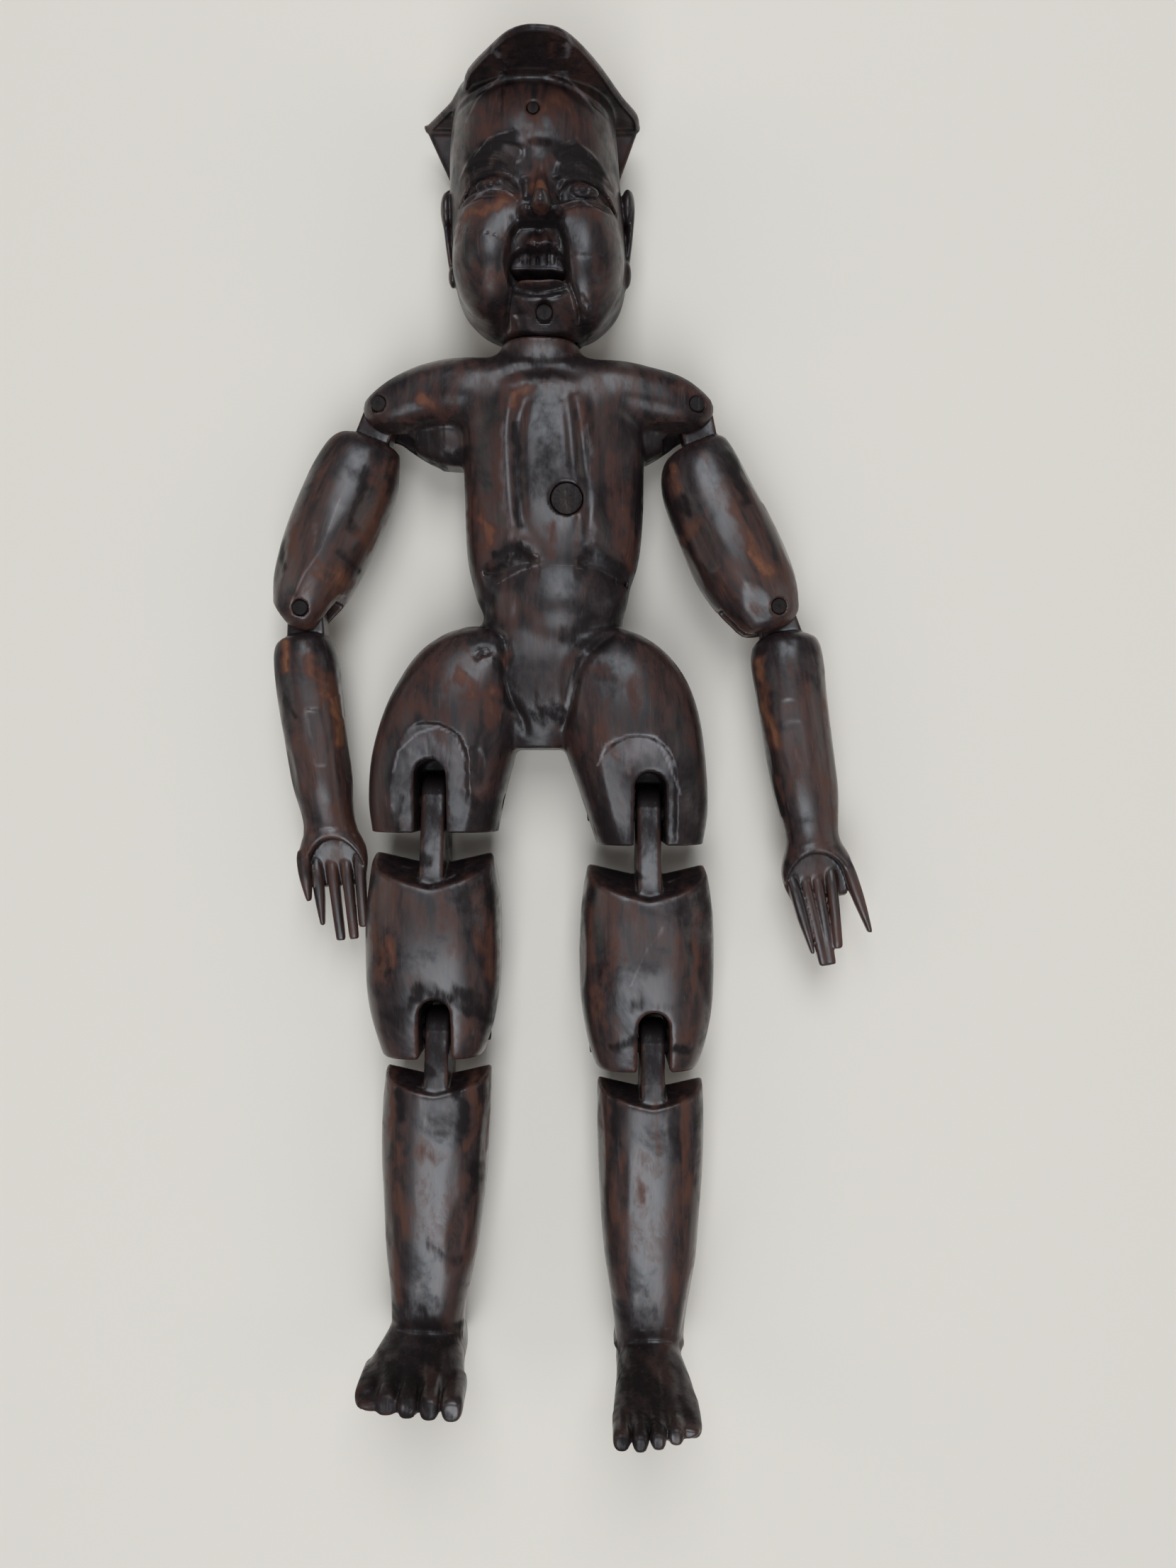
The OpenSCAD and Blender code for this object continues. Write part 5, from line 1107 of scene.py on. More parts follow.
def face_relief(wood):
    """Cheeks, mouth, nose, eyes and the groove over the brows."""
    for place, reach in (((-17.5, 98.5, 42), (15, 23, 18.5)), ((17.8, 96, 42), (15, 25, 18.0))):
        wood.join(ball(place, reach), 5)
    mouth(wood)
    nose(wood)
    eyes(wood)
    for line in ([(-28.0, 104.7), (-24.0, 102.4), (-20.3, 101.6), (-14.8, 100.4), (-10.5, 98.2)],
                 [(12.0, 93.8), (17.2, 92.7), (25.3, 93.2)]):
        wood.gouge(line, 0.45, 0.35)
    wood.gouge(bend([(-9, 134.5), (-3, 136.0), (5, 136.2), (12, 134.8)]), 5.0, 0.5)


def mouth(wood):
    """The hollow about the mouth, both lips, the dark opening under the teeth, and the cracks beside it."""
    left_fold = bend([(-6.0, 105.2), (-8.8, 101.6), (-9.9, 96.9), (-10.6, 92.5), (-10.2, 88.5),
                      (-9.2, 84.6)])
    right_fold = bend([(12.0, 84.8), (11.4, 90.2), (11.0, 94.6), (10.5, 99.7), (9.2, 103.4), (8.2, 105.4)])
    wood.panel(left_fold + right_fold, 0.8, 3.2)
    wood.join(ball((1.4, 98.2, 44), (9.4, 7.2, 15.2)), 1.8)
    wood.gouge([(1.6, 103.5), (1.6, 99.8)], 2.4, 0.9)
    upper_lip = bend([(-9.8, 91.2), (-9.3, 94.2), (-7.6, 96.2), (-5.0, 97.2), (-3.2, 97.3), (-1.2, 96.6),
                      (0.8, 96.2), (2.6, 97.2), (4.5, 97.8), (6.6, 97.2), (9.2, 95.7), (10.8, 92.3),
                      (11.1, 88.8)])
    lower_lip = bend([(9.8, 86.4), (6.1, 85.3), (1.3, 84.8), (-3.5, 85.6), (-6.7, 87.0), (-8.4, 89.0)])
    wood.panel(upper_lip + lower_lip, 0.5, 2.6, 50)
    opening = [(-9.9, 91.2), (-5.4, 91.5), (1.2, 91.2), (6.6, 91.2), (10.5, 90.4), (11.1, 89.3),
               (9.7, 86.8), (6.0, 85.8), (1.2, 85.2), (-3.5, 86.0), (-6.7, 87.4), (-8.4, 89.3)]
    wood.panel(opening, 0.5, 8.0, 30)
    for x, drift in ((-5.9, 0), (-2.9, 0), (0.8, 0), (4.6, 0.1), (7.6, 0.2)):
        wood.gouge([(x, 97.5), (x + drift, 90.9)], 0.65, 1.1, 40)
    for line, width, depth, taper in (
            ([(-8.0, 85.2), (-3.6, 84.0), (0.6, 83.6), (5.7, 84.1), (11.0, 85.4)], 1.9, -1.7, 0.12),
            ([(-8.4, 83.8), (-4.2, 82.4), (0.4, 81.7), (6.0, 82.3), (11.8, 83.6)], 1.1, 1.3, 0.1),
            ([(-9.5, 81.9), (-4.2, 80.4), (1.1, 80.0), (6.5, 80.4), (13.0, 81.4)], 0.9, 0.9, 0.15)):
        wood.gouge(bend(line), width, depth, taper=taper)
    for crack, width, depth in (
            ([(-5.6, 106.6), (-7.2, 104.0), (-9.4, 100.6), (-10.4, 96.4), (-10.9, 92.0), (-10.4, 88.0),
              (-9.4, 84.0), (-10.4, 80.0), (-11.4, 76.0), (-11.6, 71.5)], 1.3, 1.2),
            ([(8.6, 106.0), (9.8, 103.0), (11.2, 98.5), (11.6, 94.0), (11.9, 90.0), (12.6, 85.0),
              (14.4, 81.0), (15.9, 77.0), (16.6, 72.0)], 1.5, 1.4)):
        wood.gouge(bend(crack), width, depth, sharp=True, taper=0.08)
    for nick, width, depth in (
            ([(17.6, 79.5), (18.4, 77.5), (17.6, 74.8)], 1.2, 0.5),
            ([(19.4, 77.8), (20.4, 76.2)], 0.9, 0.35),
            ([(17.2, 75.0), (19.0, 73.8)], 0.8, 0.3), ([(-8.6, 76.6), (-3.0, 75.6)], 1.0, 0.6),
            ([(-7.8, 79.2), (-6.2, 74.0)], 1.8, 0.7)):
        wood.gouge(nick, width, depth, 10, sharp=True)


def eyes(wood):
    """Two raised brows with their cuts, sunk eyes between two lids, and the eyeballs."""
    for side, k in SIDES.items():
        brow, cuts, lid, under, (ball_x, ball_y) = EYES[side]
        wood.panel(bend(brow), 0.8, -0.7)
        wood.panel(bend(lid) + bend(under)[::-1], 0.9, 1.7)
        for line in cuts:
            wood.gouge(bend(line), 0.95, 0.75, taper=0.12)
        wood.gouge(bend([(x, y + 0.1) for x, y in lid]), 1.0, -0.7, taper=0.1)
        wood.gouge(bend(under), 1.5, -1.2, taper=0.12)
        wood.gouge(bend([(x, y - 1.7) for x, y in under]), 1.6, 0.7, taper=0.2)
        wood.join(ball((ball_x, ball_y, 53.6), (6.6, 2.9, 4.6)), 0.5)
        wood.gouge(ellipse((ball_x + k * 0.6, ball_y), 2.0, 1.7, 0, 2 * math.pi, 13), 0.7, 0.3)


def nose(wood):
    """A short straight nose, flat below, with its wings and nostrils."""
    rows = [(0, 0, 5.2, 46.4, 20), (1.4, 0, 5.9, 48.6, 20), (4.4, 0, 5.4, 48.2, 20),
            (8.0, 0, 4.5, 45.0, 20), (12.5, 0, 3.9, 41.0, 20), (17.5, 0, 3.4, 37.6, 20),
            (22.0, 0, 2.6, 35.4, 20)]
    wood.join(placed(carved(smooth_rows(rows), 2.4), (NOSE_X, 106.3, AXIS_Z)), 1.6)
    for x in (-3.2, 7.8):
        wood.join(ball((x, 108.6, 58.0), (3.0, 2.6, 7.4)), 1.2)
    for x in (-1.9, 6.5):
        wood.take(ball((x, 105.6, 64.5), (2.0, 1.7, 4.0)), 0.4)
    for k in (-1, 1):
        beside = [(NOSE_X + k * out, y) for out, y in ((6.4, 113.5), (5.4, 117.5), (5.8, 122.0))]
        wood.gouge(beside, 3.4, 1.6, taper=0.2)
    wood.join(ball((1.6, 129.5, 53.5), (7.5, 7.0, 8.7)), 4)


def cap_peak(wood):
    """The cap's peak, a beaded plate that dips towards its front, and the wings behind it."""
    def plate(outline, size, tilt, height, bead):
        """A thin plate from its outline, tilted about the cap's edge; bead is its raised rim's height."""
        c, s = math.cos(math.radians(tilt)), math.sin(math.radians(tilt))
        points = [(a * PEAK_W, b * size) for a, b in outline]
        if bead:
            points = [points[0]] + bend([points[1]] + points[2:-1] + [points[-1], points[0]])

        def form(x, y, z):
            v, w = y - PEAK_Y, z - AXIS_Z - height
            up, out = c * v + s * w, c * w - s * v
            flat = in_outline(x + 0 * up, up + 0 * x, points)
            sunk = bead * np.clip((-flat - 1.5) / 0.9, 0, 1)
            return -smooth_low(-flat, smooth_low(-out - sunk, out + PEAK_T, 0.5), 1.6)
        return form
    wood.join(plate(PEAK, PEAK_REACH - 0.75, 93, 0, 0.9), 1.2, (-55, 150, -5), (50, 180, 95))
    wood.join(plate(WINGS, PEAK_REACH, 45, PEAK_REACH * -0.104, 0), 1.2, (-55, 140, -5), (50, 180, 40))
    crease = [(-31.3, 156.8), (-26.6, 156.9), (-19.9, 158.1), (-12.4, 159.2), (-3.9, 159.7), (3.2, 159.5),
              (10.4, 158.4), (17.7, 156.6), (23.8, 155.4), (27.5, 154.9)]
    wood.gouge(bend(crease), 1.1, -0.6, below=64, taper=0.1)
    wood.gouge(bend([(x * 1.02, y - 2.0) for x, y in crease]), 1.6, 0.5, below=64, taper=0.1)


def ear(wood, side):
    """An ear that lies along the head, thicker at its top and at its lobe."""
    k = SIDES[side]
    form = carved(smooth_rows(np.array(EAR) * (EAR_H, HEAD_W, EAR_T, HEAD_D, HEAD_D)), 2.0)
    c, s = math.cos(math.radians(12)), math.sin(math.radians(12))

    def tilted(x, y, z):
        u = k * (x - k * HEAD_W * 0.484)
        w = z - AXIS_Z + HEAD_D * 0.07
        return form(c * u - s * w, y - JAW_Y - HEAD_H * 0.495, s * u + c * w)
    wood.join(tilted, 1.5, (20 if k > 0 else -55, 80, 0), (50 if k > 0 else -20, 150, 50))
    for place, radii in EAR_ENDS[side]:
        wood.join(ball(place, radii), 0.8)


def carve_upper_arm(side):
    """A barrel with a tongue above and a slot below, its lower end cut away for the forearm's swing."""
    k = SIDES[side]
    wood = Billet(side + "_upper_arm", 0.8, seed=7 + k)
    place, turn, inset = (*SHOULDER[side], AXIS_Z), ARM_ANGLE[side], ARM_INSET[side]
    barrel = carved(smooth_rows(UPPER_ARM[side], ARM_L, ARM_W, ARM_D), 2.2)
    wood.join(placed(lambda x, y, z: barrel(x + inset, y, z), place, turn, k))
    wood.shave(50, 0.22, 14)
    lever = tongue((0, 0, 0), ARM_TONGUE_R, (-inset / 2 - 7, -inset / 2 + 7), ARM_START + 6, TONGUE_T)
    wood.join(placed(lever, place, turn, k), 0.8)

    def slot(x, y, z):
        return np.maximum(np.abs(z) - ARM_SLOT_T / 2, y + ARM_L - 8.05 + 0 * x)
    wood.take(placed(slot, place, turn, k), 0.4)
    for line, width, height in KNIFE_RIDGES[side]:
        wood.gouge(line, width, -height, 30, taper=0.25, sharp=True)
    elbow_x, elbow_y = ELBOW[side]
    for outward, ear_end in ARM_END_CUTS[side]:
        own = math.radians(k * (FOREARM_ANGLE[side] + outward))
        c, s, ear_end = math.cos(own), math.sin(own), ear_end * PEG_R
        wood.take(half_space((elbow_x + s * ear_end, elbow_y - c * ear_end, 0), (-s, c, 0)), 0.6)
    wood.take(peg_bore(place, PEG_HOLE_R))
    wood.take(peg_bore(ELBOW[side], PEG_HOLE_R))
    return wood.mesh(place, k * turn)


def carve_forearm(side):
    """Tongue, forearm and open hand from one billet."""
    k = SIDES[side]
    wood = Billet(side + "_forearm", 0.7, seed=11 + k)
    place = (*ELBOW[side], AXIS_Z)
    length, width, own = FOREARM_L[side], FOREARM_W[side], k * FOREARM_ANGLE[side]
    hand, hand_top = HAND_W[side], place[1] - length * 0.9
    bar = carved(smooth_rows(FOREARM[side], length, width, FOREARM_W["left"]), 2.2)
    wood.join(placed(lambda x, y, z: bar(k * x, y, z), place, own))
    palm = carved(smooth_rows(PALM, PALM_L, hand, hand), 2.3)
    wood.join(placed(lambda x, y, z: palm(x, y + length, z), place, own), 2.5)
    wood.shave(40, 0.2, 11, (-FAR, hand_top, -5), (FAR, place[1] - 14, 60))
    middle, half = BOWL[side]

    def bowl(x, y, z):
        """The hollow of the hand: an arch, deeper towards the fingers."""
        v = y + length + PALM_L * 0.88
        across = np.hypot((x - hand * middle) / half / hand, np.maximum(v, 0) / PALM_L / 0.62)
        floor = hand * 0.10 - np.clip(PALM_L * 0.62 - v, 0, 20) * 0.30
        return np.maximum((across - 1) * hand * 0.36, (floor - z) * 0.9)
    wood.take(placed(bowl, place, own), 2.2, None, (FAR, hand_top, FAR))
    for number, (root, tip, reach, height) in enumerate(FINGERS[side]):
        thumb = number == 4
        end = 0.12 if thumb or number == 0 else 0.30
        finger = carved(finger_rows(reach * FINGER_L + PALM_L * 0.45, (tip - root) * hand,
                                    FINGER_T * (1.1 if thumb else 1.0), end), 3.0)
        knuckle = PALM_L * (0.85 if thumb else 1.0)
        base = (root * hand, -length - knuckle + PALM_L * 0.45, height * hand - hand * 0.09)
        wood.join(placed(placed(finger, base), place, own), 0.7)
    middle, half = k * width * 0.05, width * 0.3
    lever = tongue((0, 0, 0), ARM_TONGUE_R, (middle - half, middle + half), 16, TONGUE_T)
    wood.join(placed(lever, place, own), 0.8)
    wood.take(peg_bore(place, PEG_HOLE_R))
    return wood.mesh(place, own, wear_reach=2.4, edge_wear=0.45)


def finger_rows(length, shift, thick, end):
    """A finger's table from tip to root; shift drifts it sideways, end is how wide its tip is."""
    shares = [(-1, 1, end, 0.20, 0.30), (-0.94, 0.97, end + 0.08, 0.34, 0.42),
              (-0.55, 0.55, 0.42, 0.50, 0.50), (-0.2, 0.2, 0.44, 0.54, 0.56), (0, 0, 0.30, 0.30, 0.56)]
    return smooth_rows(np.array(shares) * (length, shift, thick, thick, thick))


def carve_thigh_block(side):
    """The lower thigh: a tongue above, a hollow top beside it and a slot below."""
    wood = Billet(side + "_thigh_block", 0.9, seed=17 + SIDES[side])
    hip, knee = (*HIP[side], AXIS_Z), (*KNEE[side], AXIS_Z)
    block = carved(smooth_rows(THIGH_BLOCK, BLOCK_L, BLOCK_W, BLOCK_D), 3)
    wood.join(placed(lambda x, y, z: block(x + HIP_LEAN, y, z), hip))
    wood.shave(44, 0.25, 16)
    ridge = LEG_TONGUE_R + PEG_R * 2.8
    for slope, facing in ((21, 1), (20, -1)):
        wood.take(valley((hip[0], hip[1] - ridge, AXIS_Z), BLOCK_W * 0.47, 0.22, slope, facing), 0.4)
    lever = tongue(hip, LEG_TONGUE_R, (-BLOCK_D * 0.4, BLOCK_D * 0.4), ridge + 12, LEG_TONGUE_T, "zy")
    wood.join(lever, 0.8)
    wood.take(peg_bore(hip, PEG_HOLE_R, "x"), 0, None, (FAR, hip[1] + 20, FAR))
    leg_slot(wood, knee)
    wood.take(peg_bore(knee, PEG_HOLE_R, "x"))
    wood.take(half_space((0, knee[1] - PEG_R * 2.5, 0), (0, 1, 0)), 0.8)
    rest_flat(wood)
    wood.soften()

    def marks(found, x, y, z):
        # A darker, dull tongue, and painted shade deep in the knee slot.
        darkened_tongue(found, x, y, hip, ridge)
        slot_painted_shade(found, x, y, z, knee)
    return wood.mesh(hip, extra=marks)


def carve_lower_leg(side):
    """Tongue, shin and foot from one billet, with a hollow top beside the tongue."""
    k = SIDES[side]
    wood = Billet(side + "_lower_leg", 0.8, seed=23 + k)
    knee = (*KNEE[side], AXIS_Z)
    wood.join(placed(carved(smooth_rows(SHIN[side], SHIN_L, SHIN_W, SHIN_D), 2.7), knee))
    wood.shave(44, 0.25, 16)
    ridge = PEG_R * 4.15
    for slope, facing in ((14, 1), (38, -1)):
        wood.take(valley((knee[0], knee[1] - ridge, AXIS_Z), SHIN_W * 0.46, 0.2, slope, facing), 0.4)
    lever = tongue(knee, LEG_TONGUE_R, (-SHIN_D * 0.38, SHIN_D * 0.40), ridge + 12, LEG_TONGUE_T, "zy")
    wood.join(lever, 0.8)
    foot(wood, side, knee)
    wood.take(peg_bore(knee, PEG_HOLE_R, "x"), 0, (-FAR, knee[1] - 20, -5), (FAR, knee[1] + 20, 60))
    rest_flat(wood)
    wood.soften()

    def marks(found, x, y, z):
        """The foot is darkened with painted shade and loses most of its pale marks; the tongue is darker
        and dull.
        """
        # Painted shade over the foot, below the ankle.
        ankle = np.clip((knee[1] - SHIN_L - y) / 5, 0, 1)
        found["soot"] = np.maximum(found["soot"], ankle * 0.45)
        found["pale"] = found["pale"] * (1 - ankle * 0.7)
        darkened_tongue(found, x, y, knee, ridge)
    return wood.mesh(knee, extra=marks)


def foot(wood, side, knee):
    """The foot, which stands out of the front, its five toes and the creases between them."""
    k = SIDES[side]
    length, width, rise = FOOT_L[side], FOOT_W[side], SOLE_DROP - SHIN_L
    out = width * FOOT_OUT[side]
    toe_w = width / 5
    middles = [(number - 2) * toe_w + width * 0.037 for number in range(5)]
    low = (FAR, knee[1] - 90, FAR)

    def standing(form):
        """A form along Y stood up, so that it points out of the front and its front becomes the instep."""
        return lambda x, y, z: form(k * (x - knee[0]) - out, z + 0 * x, y - knee[1] + 0 * x)
    sole = carved(smooth_rows(FOOT, length, width, rise), 2.6)
    wood.join(standing(placed(sole, (0, 0, rise * 0.22 - SOLE_DROP))), 2.0, None, low)
    toe = carved(smooth_rows(TOE, toe_w, toe_w, toe_w), 2.6)
    for middle, reach in zip(middles, TOE_REACH[side]):
        wood.join(standing(placed(toe, (middle, length * reach, toe_w * 0.62 - SOLE_DROP))), 0.9, None, low)
    sole_y = knee[1] - SOLE_DROP
    for number in range(4):
        gap = knee[0] + k * ((number - 1.5) * toe_w + width * 0.037 + out)
        crease = [(gap, sole_y - 3), (gap - k * (number - 1.5) * 0.8, sole_y + rise)]
        wood.gouge(crease, 1.1, 0.9, length * 0.6)


# Round pegs and plugs

def turned_peg(node, axis, dome, rough, seed, rings=7, sides=64):
    """A peg as a turned shape, its ends slightly domed and worn; axis is 0 for X and 2 for Z."""
    low, high = (np.array(corner) * 1000 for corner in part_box(node))
    centre = (low + high) / 2
    half = (high - low)[axis] / 2
    radius = (high - low)[(axis + 1) % 3] / 2 - 0.02
    chance = np.random.default_rng(seed)
    profile = [(radius * math.sin(a), half - dome * (1 - math.cos(a)))
               for a in np.linspace(0, math.pi * 0.42, rings)[1:]]
    profile.append((radius, half - dome * 1.6))
    points = [(0.0, 0.0, half)]
    for end, outline in ((1, profile), (-1, profile[::-1])):
        for r, h in outline:
            for k in range(sides):
                a = 2 * math.pi * k / sides
                points.append((r * math.cos(a), r * math.sin(a), end * (h - rough * chance.uniform(0, 1))))
    points.append((0.0, 0.0, -half))
    count = len(profile) * 2
    faces = [(0, 1 + k, 1 + (k + 1) % sides) for k in range(sides)]
    for ring in range(count - 1):
        a, b = 1 + ring * sides, 1 + (ring + 1) * sides
        faces += [(a + k, b + k, b + (k + 1) % sides, a + (k + 1) % sides) for k in range(sides)]
    last = len(points) - 1
    a = 1 + (count - 1) * sides
    faces += [(last, a + (k + 1) % sides, a + k) for k in range(sides)]
    points = np.array(points)
    if axis == 0:
        points = points[:, [2, 0, 1]]
    points = (points + centre) / 1000
    data = bpy.data.meshes.new(node + "_turned")
    data.from_pydata(points.tolist(), [], faces)
    data.polygons.foreach_set("use_smooth", np.ones(len(faces), bool))
    most = {"edge": 0, "hollow": 0, "red": 0 if rough else 0.8, "soot": 0.9 - rough if rough else 0.3,
            "pale": max(rough - 0.25, 0) * 2}
    marks = {name: chance.uniform(value * 0.2, value, len(points)) for name, value in most.items()}
    keep_marks(data, marks, points)
    data.update()
    return shown(node + "_turned", data)


# Finishes

FLOAT, COLOUR = "NodeSocketFloat", "NodeSocketColor"
TONES = ("Base", "Cool", "Worn", "Bright", "Dark", "Pale")


def new_group(name, inputs, outputs):
    """An empty shader node group with named inputs and outputs."""
    group = bpy.data.node_groups.new(name, "ShaderNodeTree")
    for label, kind, default in inputs:
        socket = group.interface.new_socket(label, in_out="INPUT", socket_type=kind)
        if default is not None:
            socket.default_value = default
    for label, kind in outputs:
        group.interface.new_socket(label, in_out="OUTPUT", socket_type=kind)
    start = group.nodes.new("NodeGroupInput")
    end = group.nodes.new("NodeGroupOutput")
    start.location, end.location = (-900, 0), (900, 0)
    return group, start, end


def node(tree, kind, at=(0, 0), links=(), **values):
    """A node with its values set and its inputs linked; links are (input, output socket)."""
    made = tree.nodes.new(kind)
    made.location = at
    for key, value in values.items():
        if key in made.bl_rna.properties:
            setattr(made, key, value)
        else:
            made.inputs[key.replace("_", " ")].default_value = value
    for name, source in links:
        tree.links.new(source, made.inputs[name])
    return made


def feed(tree, socket, value):
    """Links an output to an input, or sets a plain value on it."""
    if isinstance(value, (int, float, tuple)):
        socket.default_value = value
    else:
        tree.links.new(value, socket)


def maths(tree, operation, first, second, at=(0, 0), clamp=False):
    """Two values or outputs worked into one."""
    made = node(tree, "ShaderNodeMath", at, operation=operation, use_clamp=clamp)
    feed(tree, made.inputs[0], first)
    feed(tree, made.inputs[1], second)
    return made.outputs[0]


def ramp(tree, source, low, high, at=(0, 0)):
    """A smooth step from 0 at low to 1 at high."""
    made = node(tree, "ShaderNodeMapRange", at, [("Value", source)], interpolation_type="SMOOTHSTEP",
                From_Min=low, From_Max=high)
    return made.outputs["Result"]


def mix(tree, factor, first, second, at=(0, 0)):
    """One colour turning into another; a colour's sockets are numbers 6 and 7 in, 2 out."""
    made = node(tree, "ShaderNodeMix", at, data_type="RGBA")
    for index, value in ((0, factor), (6, first), (7, second)):
        feed(tree, made.inputs[index], value)
    return made.outputs[2]


def noise(tree, place, stretch, scale, detail, roughness, at, distortion=0.0):
    """Noise that is drawn out along the grain."""
    drawn = node(tree, "ShaderNodeVectorMath", at, [(0, place)], operation="MULTIPLY")
    drawn.inputs[1].default_value = (1.0, stretch, 1.0)
    made = node(tree, "ShaderNodeTexNoise", (at[0] + 200, at[1]), [("Vector", drawn.outputs[0])],
                Scale=scale, Detail=detail, Roughness=roughness, Distortion=distortion)
    return made.outputs["Fac"]


def wood_grain_group():
    """Four kinds of unevenness along the grain: streaks, fine pores, broad clouds and mottle."""
    rows = (("Streaks", 0.14, 260.0, 5.0, 0.6, 0.6), ("Pores", 0.05, 1500.0, 3.0, 0.7, 0.0),
            ("Clouds", 0.7, 40.0, 5.0, 0.62, 0.4), ("Mottle", 0.4, 130.0, 6.0, 0.72, 0.5))
    group, start, end = new_group("wood_grain", [("Grain", "NodeSocketVector", None)],
                                  [(row[0], FLOAT) for row in rows])
    for name, stretch, scale, detail, roughness, distortion in rows:
        value = noise(group, start.outputs["Grain"], stretch, scale, detail, roughness,
                      (-600, 300 - scale / 2), distortion)
        group.links.new(value, end.inputs[name])
    return group


def scratches_group():
    """Fine scratches in two directions."""
    group, start, end = new_group("scratches", [("Place", "NodeSocketVector", None),
                                                ("Amount", FLOAT, 0.35)], [("Lines", FLOAT)])
    masks = []
    for n, (turn, scale) in enumerate((((0.3, 0.2, 0.5), (1.0, 0.06, 1.0)),
                                       ((0.1, 0.4, -0.7), (1.0, 0.08, 1.0)))):
        row = 200 - 300 * n
        turned = node(group, "ShaderNodeMapping", (-700, row), [("Vector", start.outputs["Place"])],
                      vector_type="POINT", Rotation=turn, Scale=scale)
        lines = node(group, "ShaderNodeTexNoise", (-480, row), [("Vector", turned.outputs[0])],
                     Scale=620.0, Detail=2.0)
        masks.append(ramp(group, lines.outputs["Fac"], 0.66, 0.76, (-250, row)))
    lines = maths(group, "MAXIMUM", masks[0], masks[1], (0, 0))
    group.links.new(maths(group, "MULTIPLY", lines, start.outputs["Amount"], (200, 0)), end.inputs["Lines"])
    return group


GRAIN = wood_grain_group()
SCRATCHES = scratches_group()


